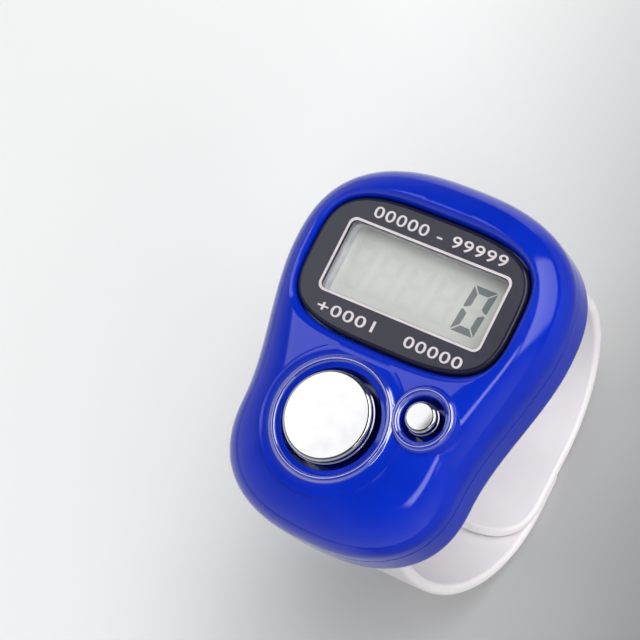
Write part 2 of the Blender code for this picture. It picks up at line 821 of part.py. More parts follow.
def ribbon(name, path, thickness, width, place, finish):
    """A bent metal strip: a path of (x, z) points, thickened below and extruded along Y."""
    shape = bmesh.new()
    rows = []
    for y in (-width / 2, width / 2):
        rows.append([shape.verts.new((x, y, z)) for x, z in path])
    for i in range(len(path) - 1):
        shape.faces.new((rows[0][i], rows[0][i + 1], rows[1][i + 1], rows[1][i]))
    made = add_object(name, finish_mesh(name, shape), finish, case_frame)
    made.location = (place[0], place[1], 0.0)
    thick = made.modifiers.new("thickness", "SOLIDIFY")
    thick.thickness = thickness
    thick.offset = 0.0
    thick.use_even_offset = True
    return made


def battery():
    shoulder_top = cell_top - cell_step
    profile = [
        (0.0, cell_top), (cell_radius * 0.72, cell_top), (cell_radius * 0.74, shoulder_top),
        (cell_radius - cell_edge, shoulder_top), (cell_radius, shoulder_top - cell_edge),
    ]
    profile += arc((cell_radius - cell_edge, cell_bottom + cell_edge), cell_edge, 0, -90, 3)
    profile += [(0.0, cell_bottom)]
    shade(turned("button_cell", profile, cell_place, steel, case_frame, steps=36))

    clip_z = clip_top - contact_thickness / 2
    leg = cell_radius + clip_leg_room
    foot = board_bottom - touch_gap - contact_thickness / 2
    half = [(leg, clip_z), (leg, foot), (leg + clip_foot, foot)]
    path = [(-x, z) for x, z in half[::-1]] + half
    ribbon("battery_clip", path, contact_thickness, contact_width, cell_place, steel)

    box("battery_spring", (*leaf_size, contact_thickness), (*cell_place, foot), steel, case_frame)


def screw(name, place, shank, head, head_height, low, high):
    """Pan-head screw seen from below: head at low, shank end at high, with a cross recess."""
    rim = 0.15 * MM
    tip = 0.4 * MM
    profile = [
        (0.0, high), (shank, high - tip), (shank, low + head_height),
        (head, low + head_height), (head, low + rim), (head - rim, low), (0.0, low),
    ]
    made = turned(name, profile, place, steel, case_frame, steps=12)
    slot = head * 0.3
    for number, size in enumerate(((head * 1.2, slot), (slot, head * 1.2))):
        cut(made, box(f"{name}_slot_{number}", (*size, head_height * 0.9), (*place, low), None,
                      case_frame))
    shade(made)


def strap_path(root_y, corner, base, end_y, bend=None):
    """Middle line of a strap as (y, z): down the arm, round an oval corner, along the bottom.

    The corner is (reach, flat, rise): how far out it goes, where the flat bottom ends,
    and how high its widest place is. A bend of (y, radii) turns the free end up again,
    to lie along the other strap.
    """
    side = 1.0 if root_y > 0 else -1.0
    reach, flat, rise = corner
    wide = reach - strap_thickness / 2 - flat
    squash = wide / rise
    run = abs(root_y) - flat
    climb = (hinge_height - base - rise) * squash
    start = math.atan2(climb, run) - math.acos(wide / math.hypot(run, climb))
    steps = 40
    line = [(abs(root_y), hinge_height)]
    for i in range(steps + 1):
        angle = start - (start + math.pi / 2) * i / steps
        line.append((flat + wide * math.cos(angle), base + rise * (1 + math.sin(angle))))
    if bend:
        bend_y, wide, rise = bend
        turn = math.asin((bend_y - side * end_y) / wide)
        for i in range(11):
            angle = turn * i / 10
            line.append((bend_y - wide * math.sin(angle), base + rise * (1 - math.cos(angle))))
    else:
        line.append((side * end_y, base))
    return [(side * y, z) for y, z in line]


def strap_section(half_width, half_thickness):
    """Rounded cross-section, from one long side round to the other."""
    edge = strap_edge
    points = []
    corners = (
        (half_width - edge, half_thickness - edge, 90), (half_width - edge, edge - half_thickness, 0),
        (edge - half_width, edge - half_thickness, -90), (edge - half_width, half_thickness - edge, -180),
    )
    for x, z, start in corners:
        points += arc((x, z), edge, start, start - 90, 2)
    return points


def strap(name, path, half_width, origin):
    """Flat arm swept along its path: bead at the root, full width, rounded free end."""
    length = sum(math.dist(a, b) for a, b in zip(path, path[1:]))
    arm = 1 - strap_end_taper / length
    shares = [arm * i / strap_steps for i in range(strap_steps + 1)]
    widths = [half_width[0] + (half_width[1] - half_width[0]) * share for share in shares]
    for i in range(1, strap_end_steps + 1):
        angle = math.pi / 2 * i / strap_end_steps
        shares.append(arm + (1 - arm) * math.sin(angle) ** (2 / strap_end_power))
        round_end = max(math.cos(angle), 0.0) ** (2 / strap_end_power)
        widths.append(max(half_width[1] * round_end, 2 * strap_edge))
    line = points_at(path, shares)
    stations = []
    for i, point in enumerate(line):
        before, after = line[max(i - 1, 0)], line[min(i + 1, len(line) - 1)]
        direction = Vector((after[0] - before[0], after[1] - before[1])).normalized()
        stations.append((point, direction, widths[i]))

    shape = bmesh.new()
    rings = []
    for (y, z), direction, width in stations:
        normal = (-direction.y, direction.x)
        ring = []
        for x, depth in strap_section(width, strap_thickness / 2):
            ring.append(shape.verts.new((x, y + normal[0] * depth - origin[0],
                                         z + normal[1] * depth - origin[1])))
        rings.append(ring)
    for low, high in zip(rings, rings[1:]):
        for i in range(len(low)):
            j = (i + 1) % len(low)
            shape.faces.new((low[i], low[j], high[j], high[i]))
    shape.faces.new(rings[0])
    shape.faces.new(rings[-1])
    made = add_object(name, finish_mesh(name, shape), frosted)
    made.location = (0.0, *origin)

    shape = bmesh.new()
    bmesh.ops.create_cone(shape, cap_ends=True, segments=16, radius1=root_bead_radius,
                          radius2=root_bead_radius, depth=2 * half_width[0])
    bead = add_object(name + "_bead", finish_mesh(name + "_bead", shape))
    bead.rotation_euler = (0.0, math.pi / 2, 0.0)
    bead.location = (0.0, origin[0], hinge_height)
    join(made, bead)
    return made


def slot_hole(name, centre_y, length, floor):
    """Oblong adjusting hole through a strap's flat bottom."""
    outline = rounded_box(2 * (peg_radius + fit_gap), length, peg_radius + fit_gap - 0.01 * MM,
                          (0.0, centre_y), steps=5)
    return loft(name, [(outline, floor - MM), (outline, floor + strap_thickness + 2 * MM)])


def ring_straps():
    lower_base = strap_thickness / 2
    upper_base = lower_base + strap_thickness + strap_gap

    lower_line = strap_path(lower_root_y, lower_corner, lower_base, lower_end_y)
    lower = strap("lower_strap", lower_line, lower_half_width, (lower_root_y, hinge_height))
    hole_length = 2 * (peg_radius + fit_gap) + hole_slack
    cut(lower, slot_hole("closing_hole", peg_y + hole_slack / 2, hole_length, 0.0))
    shade(lower, 50)

    reach, flat, rise = lower_corner
    inside = strap_thickness + strap_gap
    bend = (-flat, reach - strap_thickness / 2 - flat - inside, rise - inside)
    upper_line = strap_path(upper_root_y, upper_corner, upper_base, upper_end_y, bend)
    upper = strap("upper_strap", upper_line, upper_half_width, (upper_root_y, hinge_height))
    peg_top = upper_base
    peg_end = upper_base - strap_thickness / 2 - peg_length
    join(upper, cylinder("peg", peg_radius, peg_end, peg_top, (0.0, peg_y), steps=16))
    shade(upper, 50)


front_shell()
back_cover()
display_panel()
liquid_crystal()
circuit_board()
button("count_button", count_place, count_radius, count_top, count_flange_radius,
       count_dome_radius, count_travel)
button("reset_button", reset_place, reset_radius, reset_top, reset_flange_radius,
       reset_dome_radius, reset_travel)
battery()
for index, spot in enumerate(case_screw_places):
    screw(f"case_screw_{index + 1}", spot, case_screw_radius, case_screw_head_radius,
          case_screw_head_height, back_face + case_screw_sink,
          case_pilot_top - screw_tip_room)
for index, spot in enumerate(board_screw_places):
    screw(f"board_screw_{index + 1}", spot, board_screw_radius, board_screw_head_radius,
          board_screw_head_height, board_bottom - touch_gap - board_screw_head_height,
          board_pilot_top - screw_tip_room)
ring_straps()
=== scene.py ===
"""Looks of a digital finger counter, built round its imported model.

Lengths are in metres. Inside the case, heights are counted from the panel's front face,
and the case's middle lies on the Z axis.
"""
import math

import bmesh
import bpy
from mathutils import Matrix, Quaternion, Vector


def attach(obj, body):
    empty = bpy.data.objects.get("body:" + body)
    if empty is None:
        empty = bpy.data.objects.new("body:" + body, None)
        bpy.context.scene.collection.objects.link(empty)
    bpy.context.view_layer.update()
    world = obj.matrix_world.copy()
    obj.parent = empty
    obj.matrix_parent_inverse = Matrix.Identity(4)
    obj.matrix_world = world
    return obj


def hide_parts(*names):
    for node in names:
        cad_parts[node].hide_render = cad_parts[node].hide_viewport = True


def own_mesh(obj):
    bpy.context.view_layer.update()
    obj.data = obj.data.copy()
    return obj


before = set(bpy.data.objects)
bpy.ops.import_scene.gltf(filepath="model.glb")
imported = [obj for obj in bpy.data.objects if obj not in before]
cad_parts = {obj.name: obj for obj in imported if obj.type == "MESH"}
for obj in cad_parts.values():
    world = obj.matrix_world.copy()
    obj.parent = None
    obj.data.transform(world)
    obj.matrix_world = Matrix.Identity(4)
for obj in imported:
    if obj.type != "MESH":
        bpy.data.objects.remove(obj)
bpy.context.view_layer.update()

MM = 0.001

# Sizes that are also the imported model's
face_height = 45.0 * MM
fit_gap = 0.25 * MM
seam_gap = 0.15 * MM
touch_gap = 0.10 * MM
case_length = 39.5 * MM
display_half_width = 15.6 * MM
display_end_length = 11.9 * MM
display_end_power = 2.55
button_half_width = 12.8 * MM
button_end_length = 10.2 * MM
button_end_power = 2.4
crest_height = 0.5 * MM
crest_width_display = 3.6 * MM
shoulder_start = -3.8 * MM
shoulder_power = 2.0
parting_height = -4.8 * MM
front_wall = 1.4 * MM
front_cavity_top = -0.9 * MM
back_face = -10.2 * MM
back_edge_radius = 2.4 * MM
back_wall = 1.1 * MM
back_side_wall = 1.3 * MM
tongue_height = 1.0 * MM
tongue_wall = 0.6 * MM
tongue_slope = 0.8 * MM
panel_thickness = 1.2 * MM
panel_edge_radius = 0.45 * MM
panel_lip = 0.3 * MM
window_width = 18.6 * MM
window_length = 7.7 * MM
window_corner = 0.7 * MM
lens_margin = 0.7 * MM
lens_thickness = 0.75 * MM
tape_thickness = 0.2 * MM
recess_flare = 1.0 * MM
recess_web = 0.6 * MM
tray_margin = 0.9 * MM
count_centre = (-1.15 * MM, -15.8 * MM)
count_radius = 4.7 * MM
count_top = 2.1 * MM
count_hole_radius = 5.25 * MM
count_mound_radius = 7.9 * MM
count_flange_radius = 5.9 * MM
count_dome_radius = 3.2 * MM
count_travel = 0.8 * MM
reset_centre = (7.65 * MM, -12.2 * MM)
reset_radius = 1.65 * MM
reset_top = 1.5 * MM
reset_hole_radius = 2.3 * MM
reset_flange_radius = 2.7 * MM
reset_dome_radius = 1.7 * MM
reset_travel = 0.6 * MM
button_edge = 0.35 * MM
flange_thickness = 0.7 * MM
board_top = -4.4 * MM
dome_wall = 0.45 * MM
dome_skirt = 0.35 * MM
dome_lip = 0.5 * MM
collar_bead_radius = 0.4 * MM
count_bead_ring = 6.15 * MM
reset_bead_ring = 2.9 * MM
count_bead_height = 0.55 * MM
reset_bead_height = 0.45 * MM
collar_chamfer = 0.15 * MM
mound_rise = 0.05 * MM
mound_edge = 0.12 * MM
mound_skirt = 0.6 * MM
collar_wall = 1.0 * MM
collar_depth = -1.6 * MM
strap_thickness = 1.3 * MM
strap_gap = 0.3 * MM
upper_root_y = 15.45 * MM
upper_corner = (18.85 * MM, 3.75 * MM, 14.5 * MM)
upper_end_y = -8.25 * MM
upper_half_width = (7.2 * MM, 6.2 * MM)
lower_root_y = -15.25 * MM
lower_corner = (18.05 * MM, 2.95 * MM, 22.0 * MM)
lower_end_y = 5.45 * MM
lower_half_width = (5.8 * MM, 6.0 * MM)
strap_end_taper = 5.5 * MM
strap_end_power = 2.3
root_axis = -8.9 * MM
root_bead_radius = 1.5 * MM
channel_roof = 0.8 * MM
channel_end_wall = 1.0 * MM
strap_swing = math.radians(40)
peg_radius = 0.8 * MM
peg_length = 0.9 * MM
peg_y = -2.75 * MM
hole_slack = 1.5 * MM
case_screw_x = 10.7 * MM
case_screw_drop = 9.0 * MM
case_screw_radius = 0.7 * MM
case_screw_head_radius = 1.25 * MM
case_screw_head_height = 0.8 * MM
case_screw_sink = 0.25 * MM
case_boss_radius = 1.6 * MM
case_boss_end = -6.0 * MM
case_pilot_top = -2.4 * MM

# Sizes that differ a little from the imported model's, to come nearer to the photograph
crest_width_buttons = 6.3 * MM
panel_half_width = 12.0 * MM
panel_half_length = 7.4 * MM
panel_power = 3.5
panel_shift = (-0.33 * MM, -0.16 * MM)
reset_mound_radius = 3.5 * MM
button_crown = 0.045 * MM
strap_edge = 0.45 * MM

# Sizes of small shapes
sharp_edge = 0.03 * MM
weld_distance = 0.004 * MM
hole_reach = 3 * MM
tray_top = -0.2 * MM
boss_overlap = 0.4 * MM
recess_margin = 0.6 * MM
# Along the recess's rounded rim: share of the way outwards, and share of the rise
recess_curve = (
    (0.1, 0.22), (0.22, 0.42), (0.36, 0.6), (0.52, 0.76), (0.7, 0.89), (0.86, 0.97), (1.0, 1.0),
)
bead_polish_reach = 1.05 * collar_bead_radius
bead_polish_foot = crest_height + 0.12 * MM
pane_edge = 0.06 * MM
cap_lip = 0.09 * MM
cap_lip_drop = 0.95 * MM
flange_edge = 0.05 * MM
dome_edge = 0.12 * MM
dome_cap_share = 0.45
screw_tip_gap = 0.6 * MM
screw_point = 0.5 * MM
screw_rim = 0.3 * MM
screw_dish = 0.02 * MM
cross_length = 1.5 * MM
cross_width = 0.4 * MM
cross_corner = 0.12 * MM
cross_taper = 0.45
cross_lead = 0.05 * MM
cross_depth = 0.5 * MM
peg_edge = 0.2 * MM
hole_end_flat = 0.01 * MM

# Places that follow from the sizes above
half_case = case_length / 2
window_y = half_case - display_end_length
narrow_y = button_end_length - half_case
window_centre = (0.0, window_y)
panel_centre = (panel_shift[0], window_y + panel_shift[1])
count_place = (count_centre[0], count_centre[1] + window_y)
reset_place = (reset_centre[0], reset_centre[1] + window_y)
case_screw_places = [(x, window_y - case_screw_drop) for x in (-case_screw_x, case_screw_x)]
recess_floor = -panel_thickness - tape_thickness - 2 * touch_gap
lcd_seat = recess_floor - recess_web
lcd_top = lcd_seat - fit_gap
lens_top = -panel_lip - touch_gap
back_inner = back_face + back_wall
cover_top = parting_height - seam_gap
side_end = back_face + back_edge_radius
channel_radius = root_bead_radius + strap_gap
channel_top = root_axis + channel_radius + channel_roof
hinge_height = face_height + root_axis
flange_top = collar_depth - fit_gap
flange_bottom = flange_top - flange_thickness
dome_top = flange_bottom - touch_gap
dome_foot = board_top + touch_gap

# Fineness of the curves
outline_steps = 120
shoulder_steps = 14
ring_steps = 144

# Print and digits
print_thickness = 0.02 * MM
line_gap = 0.03 * MM
line_width = 0.26 * MM
label_spacing = 1.12
label_weight = 0.009
digit_width = 2.7 * MM
digit_height = 5.1 * MM
digit_bar = 0.72 * MM
digit_gap = 0.11 * MM
digit_slant = 0.09
digit_pitch = 3.45 * MM
digit_last = (6.12 * MM, 0.08 * MM)
digit_count = 5

scene = bpy.context.scene


# Shapes


def superellipse(half_width, half_length, power, steps=90):
    """A quarter, from its tip on Y to its flank on X."""
    points = []
    for i in range(steps + 1):
        angle = math.pi / 2 * i / steps
        x = half_width * math.sin(angle) ** (2 / power)
        y = half_length * max(math.cos(angle), 0.0) ** (2 / power)
        points.append((x, y))
    return points


def points_at(points, shares):
    """Points at these shares of a line's length."""
    lengths = [0.0]
    for a, b in zip(points, points[1:]):
        lengths.append(lengths[-1] + math.dist(a, b))
    found = []
    segment = 0
    for share in shares:
        wanted = lengths[-1] * share
        while segment < len(points) - 2 and lengths[segment + 1] < wanted:
            segment += 1
        span = lengths[segment + 1] - lengths[segment]
        part = min(max((wanted - lengths[segment]) / span, 0.0), 1.0)
        a, b = points[segment], points[segment + 1]
        found.append(tuple(p + (q - p) * part for p, q in zip(a, b)))
    return found


def even_points(points, count):
    return points_at(points, [i / count for i in range(count + 1)])


def mirrored(half):
    """Close a right half, listed from the top tip to the bottom tip."""
    return half + [(-x, y) for x, y in reversed(half[1:-1])]


def pear(wide, wide_length, narrow, narrow_length):
    """The case's outline with these half widths and end lengths."""
    top = [(x, window_y + y) for x, y in superellipse(wide, wide_length, display_end_power)]
    flank = []
    flank_steps = 60
    for i in range(1, flank_steps):
        part = i / flank_steps
        waist = part * part * (3 - 2 * part)
        flank.append((wide + (narrow - wide) * waist, window_y + (narrow_y - window_y) * part))
    bottom = [(x, narrow_y - y) for x, y in superellipse(narrow, narrow_length, button_end_power)]
    return mirrored(even_points(top + flank + bottom[::-1], outline_steps))


def inset(outline, distance):
    """Move an outline inwards along its normals; it runs clockwise seen from the front."""
    moved = []
    count = len(outline)
    for i, (x, y) in enumerate(outline):
        before, after = outline[i - 1], outline[(i + 1) % count]
        run = (after[0] - before[0], after[1] - before[1])
        length = math.hypot(*run)
        moved.append((x + run[1] / length * distance, y - run[0] / length * distance))
    return moved


def oval(half_width, half_length, power, centre, steps=44):
    """A closed superellipse."""
    quarter = superellipse(half_width, half_length, power)
    half = quarter + [(x, -y) for x, y in quarter[-2::-1]]
    return [(x + centre[0], y + centre[1]) for x, y in mirrored(even_points(half, 2 * steps))]


def arc(centre, radius, start, end, steps):
    """Points on an arc, angles in degrees."""
    points = []
    for i in range(steps + 1):
        angle = math.radians(start + (end - start) * i / steps)
        points.append((centre[0] + radius * math.cos(angle), centre[1] + radius * math.sin(angle)))
    return points


def rounded_box(width, length, corner, centre, steps=8):
    """A closed rectangle with round corners."""
    x, y = width / 2 - corner, length / 2 - corner
    points = []
    for corner_x, corner_y, start in ((x, y, 90), (x, -y, 0), (-x, -y, -90), (-x, y, -180)):
        points += arc((corner_x + centre[0], corner_y + centre[1]), corner, start, start - 90, steps)
    return points


def between(outer, inner, part):
    """An outline this part of the way from the outer one to the inner one."""
    return [(a + (c - a) * part, b + (d - b) * part) for (a, b), (c, d) in zip(outer, inner)]


def circle(place, radius, steps, turn=0.0):
    """Points of a circle, turned by this part of a step."""
    angles = [2 * math.pi * (i + turn) / steps for i in range(steps)]
    return [(place[0] + radius * math.cos(a), place[1] + radius * math.sin(a)) for a in angles]


def add_ring(shape, outline, z):
    return [shape.verts.new((x, y, z)) for x, y in outline]


def add_sides(shape, low, high):
    """Faces between two rings of as many points."""
    for i in range(len(low)):
        j = (i + 1) % len(low)
        shape.faces.new((low[i], low[j], high[j], high[i]))


def new_object(name, shape, height=face_height):
    """Make an object of a bmesh whose heights are counted from the panel's face."""
    bmesh.ops.recalc_face_normals(shape, faces=shape.faces)
    mesh = bpy.data.meshes.new(name)
    shape.to_mesh(mesh)
    shape.free()
    made = bpy.data.objects.new(name, mesh)
    scene.collection.objects.link(made)
    made.location.z = height
    return made


def close_rings(name, shape, rings, height):
    """A closed solid through these rings, flat at both ends."""
    for low, high in zip(rings, rings[1:]):
        add_sides(shape, low, high)
    shape.faces.new(rings[0])
    shape.faces.new(rings[-1])
    return new_object(name, shape, height)


def loft(name, sections, height=face_height):
    """A closed solid through (outline, height) sections."""
    shape = bmesh.new()
    return close_rings(name, shape, [add_ring(shape, *section) for section in sections], height)


def turned(name, profile, place, steps=ring_steps, closed=False):
    """Turn a profile of (radius, height) points round Z; closed joins its two ends."""
    shape = bmesh.new()
    rings = []
    for radius, z in profile:
        outline = circle(place, radius, steps) if radius > 0.0 else [place]
        rings.append(add_ring(shape, outline, z))
    pairs = list(zip(rings, rings[1:]))
    if closed:
        pairs.append((rings[-1], rings[0]))
    for low, high in pairs:
        for i in range(steps):
            j = (i + 1) % steps
            corners = [low[i % len(low)], low[j % len(low)], high[j % len(high)], high[i % len(high)]]
            shape.faces.new(list(dict.fromkeys(corners)))
    return new_object(name, shape)


def plates(name, outlines, low, high):
    """Plates or posts that stand on these outlines, as one object."""
    shape = bmesh.new()
    for outline in outlines:
        rings = []
        for z in (low, high):
            rings.append(add_ring(shape, outline, z))
            shape.faces.new(rings[-1])
        add_sides(shape, *rings)
    return new_object(name, shape)


def bore(name, radius, low, high, place, steps=ring_steps):
    """Round post or cutter, turned half a step so that its edges miss those of what it meets."""
    return plates(name, [circle(place, radius, steps, 0.5)], low, high)


def apply_modifiers(made):
    """Keep the shape that the modifiers give, and drop the modifiers."""
    graph = bpy.context.evaluated_depsgraph_get()
    mesh = bpy.data.meshes.new_from_object(made.evaluated_get(graph))
    made.modifiers.clear()
    made.data = mesh


def combine(target, joined=(), cut=()):
    """Join and cut with solids that are used up by it."""
    for tools, operation in ((joined, "UNION"), (cut, "DIFFERENCE")):
        for tool in tools:
            change = target.modifiers.new(operation, "BOOLEAN")
            change.operation = operation
            change.object = tool
            change.solver = "EXACT"
    apply_modifiers(target)
    for tool in [*joined, *cut]:
        bpy.data.objects.remove(tool, do_unlink=True)
    shape = bmesh.new()
    shape.from_mesh(target.data)
    bmesh.ops.remove_doubles(shape, verts=shape.verts, dist=weld_distance)
    shape.to_mesh(target.data)
    shape.free()


def finish_piece(made, material, body, replaced=(), sharp=32):
    """Smooth shading with sharp edges, one material, and the body that carries it."""
    made.data.materials.clear()
    made.data.materials.append(material)
    made.data.shade_smooth()
    made.data.set_sharp_from_angle(angle=math.radians(sharp))
    weighted = made.modifiers.new("normals", "WEIGHTED_NORMAL")
    weighted.keep_sharp = True
    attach(made, body)
    if replaced:
        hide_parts(*replaced)


# Materials


def new_material(name, colour, roughness, **settings):
    """Principled material; its constants are set on the shader's own sockets."""
    made = bpy.data.materials.new(name)
    made.use_nodes = True
    shader = made.node_tree.nodes["Principled BSDF"]
    shader.inputs["Base Color"].default_value = (*colour, 1.0)
    shader.inputs["Roughness"].default_value = roughness
    for socket, value in settings.items():
        shader.inputs[socket.replace("_", " ")].default_value = value
    return made, shader


def map_range(tree, source, start=(0.0, 1.0), end=(0.0, 1.0)):
    """Map a socket's values from one range onto another, and clamp them."""
    made = tree.nodes.new("ShaderNodeMapRange")
    for name, value in zip(("From Min", "From Max", "To Min", "To Max"), (*start, *end)):
        made.inputs[name].default_value = value
    tree.links.new(source, made.inputs["Value"])
    return made


def math_node(tree, operation, first, second):
    made = tree.nodes.new("ShaderNodeMath")
    made.operation = operation
    tree.links.new(first, made.inputs[0])
    tree.links.new(second, made.inputs[1])
    return made


def object_noise(material, scale, detail=2.0, stretch=None):
    """Noise in the object's own coordinates, with scale in features per metre."""
    nodes, links = material.node_tree.nodes, material.node_tree.links
    coordinates = nodes.new("ShaderNodeTexCoord")
    noise = nodes.new("ShaderNodeTexNoise")
    noise.inputs["Scale"].default_value = scale
    noise.inputs["Detail"].default_value = detail
    if stretch:
        mapping = nodes.new("ShaderNodeMapping")
        mapping.inputs["Scale"].default_value = stretch
        links.new(coordinates.outputs["Object"], mapping.inputs["Vector"])
        links.new(mapping.outputs["Vector"], noise.inputs["Vector"])
    else:
        links.new(coordinates.outputs["Object"], noise.inputs["Vector"])
    return noise


def vary_colour(material, shader, noise, dark, light):
    """Let the base colour wander between two colours."""
    nodes, links = material.node_tree.nodes, material.node_tree.links
    ramp = nodes.new("ShaderNodeValToRGB")
    ramp.color_ramp.elements[0].position = 0.3
    ramp.color_ramp.elements[1].position = 0.7
    ramp.color_ramp.elements[0].color = (*dark, 1.0)
    ramp.color_ramp.elements[1].color = (*light, 1.0)
    links.new(noise.outputs["Fac"], ramp.inputs["Fac"])
    links.new(ramp.outputs["Color"], shader.inputs["Base Color"])


def vary_roughness(material, shader, noise, low, high):
    """Let the roughness wander between two values."""
    spread = map_range(material.node_tree, noise.outputs["Fac"], (0.3, 0.7), (low, high))
    material.node_tree.links.new(spread.outputs["Result"], shader.inputs["Roughness"])


def add_bump(material, shader, noise, height):
    nodes, links = material.node_tree.nodes, material.node_tree.links
    bump = nodes.new("ShaderNodeBump")
    bump.inputs["Distance"].default_value = height
    links.new(noise.outputs["Fac"], bump.inputs["Height"])
    links.new(bump.outputs["Normal"], shader.inputs["Normal"])


def plastic(name, dark, light, roughness, bump_height, scale=900.0, **settings):
    """Injection-moulded surface: faint orange peel, and gloss that varies a little."""
    made, shader = new_material(name, light, roughness, **settings)
    vary_colour(made, shader, object_noise(made, scale / 6), dark, light)
    vary_roughness(made, shader, object_noise(made, scale, 3.0), roughness * 0.8, roughness * 1.25)
    add_bump(made, shader, object_noise(made, scale * 1.6, 2.0), bump_height)
    return made


def metal(name, dark, light, roughness, bump_height, stretch=None):
    made, shader = new_material(name, light, roughness, Metallic=1.0)
    vary_colour(made, shader, object_noise(made, 500.0), dark, light)
    vary_roughness(made, shader, object_noise(made, 1500.0, 3.0, stretch), roughness * 0.7,
                   roughness * 1.4)
    add_bump(made, shader, object_noise(made, 2500.0, 2.0, stretch), bump_height)
    return made


blue = plastic("glossy_blue_plastic", (0.0, 0.018, 0.42), (0.001, 0.023, 0.47), 0.09,
               0.0008 * MM, IOR=1.55)
bead_blue = plastic("polished_blue_bead", (0.0, 0.018, 0.42), (0.001, 0.023, 0.47), 0.07,
                    0.0004 * MM, IOR=3.6)
black = plastic("glossy_black_panel", (0.010, 0.010, 0.024), (0.014, 0.014, 0.032), 0.14,
                0.0006 * MM, IOR=1.5)
chrome = metal("bright_chrome", (0.66, 0.66, 0.67), (0.72, 0.72, 0.73), 0.035, 0.0002 * MM)
screw_steel = metal("zinc_steel", (0.42, 0.42, 0.42), (0.60, 0.60, 0.59), 0.28, 0.002 * MM)
contact_steel = metal("spring_steel", (0.50, 0.48, 0.43), (0.66, 0.64, 0.58), 0.25, 0.002 * MM,
                      (1.0, 8.0, 1.0))
cell_steel = metal("nickelled_steel", (0.52, 0.52, 0.50), (0.68, 0.68, 0.66), 0.22, 0.002 * MM)
foil = metal("satin_foil", (0.50, 0.52, 0.47), (0.60, 0.62, 0.57), 0.4, 0.002 * MM)
foam = plastic("grey_foam", (0.48, 0.46, 0.51), (0.62, 0.60, 0.65), 0.85, 0.03 * MM, 4000.0)
rubber = plastic("grey_rubber", (0.22, 0.22, 0.22), (0.32, 0.32, 0.32), 0.65, 0.01 * MM)
zebra = plastic("striped_rubber", (0.42, 0.26, 0.29), (0.62, 0.42, 0.44), 0.6, 0.01 * MM, 6000.0)
white_plastic = plastic("white_plastic", (0.66, 0.66, 0.63), (0.76, 0.76, 0.73), 0.4, 0.003 * MM)
board_green = plastic("solder_mask", (0.012, 0.12, 0.045), (0.025, 0.19, 0.07), 0.35,
                      0.006 * MM, 2500.0)
epoxy = plastic("black_epoxy", (0.010, 0.010, 0.010), (0.022, 0.022, 0.022), 0.25, 0.006 * MM)
ceramic = plastic("tan_ceramic", (0.36, 0.23, 0.12), (0.50, 0.34, 0.19), 0.45, 0.004 * MM, 3000.0)
adhesive = plastic("black_tape", (0.05, 0.05, 0.05), (0.09, 0.09, 0.09), 0.7, 0.006 * MM)
lcd_face = plastic("lcd_polariser", (0.66, 0.655, 0.63), (0.69, 0.685, 0.66), 0.42,
                   0.0008 * MM, 700.0, IOR=1.45)
ink = plastic("white_print", (0.60, 0.54, 0.56), (0.69, 0.63, 0.65), 0.35, 0.002 * MM, 2500.0)
segment_ink = plastic("lcd_segment", (0.19, 0.205, 0.22), (0.225, 0.24, 0.255), 0.35, 0.0005 * MM)
faint_ink = plastic("lcd_segment_off", (0.635, 0.63, 0.605), (0.665, 0.66, 0.635), 0.4, 0.0005 * MM)


def frosted_plastic():
    """Soft milky plastic that lets some of what lies behind it through."""
    made, shader = new_material(
        "frosted_soft_plastic", (0.93, 0.89, 0.895), 0.32, IOR=1.45, Alpha=0.88,
    )
    vary_colour(made, shader, object_noise(made, 140.0, 3.0), (0.90, 0.85, 0.86), (0.95, 0.915, 0.92))
    vary_roughness(made, shader, object_noise(made, 160.0, 0.0), 0.3, 0.36)
    add_bump(made, shader, object_noise(made, 260.0, 1.0), 0.004 * MM)
    return made


def clear_plastic():
    """Thin polished pane: nearly clear, and mirror-like on its outer side only."""
    made = bpy.data.materials.new("clear_window")
    made.use_nodes = True
    nodes, links = made.node_tree.nodes, made.node_tree.links
    nodes.remove(nodes["Principled BSDF"])
    see_through = nodes.new("ShaderNodeBsdfTransparent")
    see_through.inputs["Color"].default_value = (0.97, 0.98, 0.975, 1.0)
    gloss = nodes.new("ShaderNodeBsdfGlossy")
    gloss.inputs["Roughness"].default_value = 0.05
    fresnel = nodes.new("ShaderNodeFresnel")
    fresnel.inputs["IOR"].default_value = 1.35
    add_bump(made, gloss, object_noise(made, 600.0), 0.0006 * MM)
    geometry = nodes.new("ShaderNodeNewGeometry")
    outer = math_node(made.node_tree, "SUBTRACT", fresnel.outputs["Fac"],
                      geometry.outputs["Backfacing"])
    outer.use_clamp = True
    mix = nodes.new("ShaderNodeMixShader")
    links.new(outer.outputs["Value"], mix.inputs["Fac"])
    links.new(see_through.outputs["BSDF"], mix.inputs[1])
    links.new(gloss.outputs["BSDF"], mix.inputs[2])
    links.new(mix.outputs["Shader"], nodes["Material Output"].inputs["Surface"])
    return made


frosted = frosted_plastic()
clear = clear_plastic()

node_materials = {
    "bezel_tape": adhesive, "window_gasket": foam, "lcd_front_glass": lcd_face,
    "lcd_rear_glass": lcd_face, "lcd_reflector": foil, "lcd_frame": white_plastic,
    "zebra_strip": zebra, "circuit_board": board_green, "chip_blob": epoxy, "capacitor": ceramic,
    "button_cell": cell_steel, "battery_clip": contact_steel, "battery_spring": contact_steel,
}
for number in range(1, 5):
    node_materials[f"board_screw_{number}"] = screw_steel
for node, material in node_materials.items():
    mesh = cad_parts[node].data
    mesh.materials.clear()
    mesh.materials.append(material)


# Case

case_outline = pear(display_half_width, display_end_length, button_half_width, button_end_length)
crest_outline = pear(
    display_half_width - crest_width_display, display_end_length - crest_width_display,
    button_half_width - crest_width_buttons, button_end_length - crest_width_buttons,
)


def panel_oval(grown=0.0):
    """The panel's outline, grown by this much on every side."""
    return oval(panel_half_width + grown, panel_half_length + grown, panel_power, panel_centre)


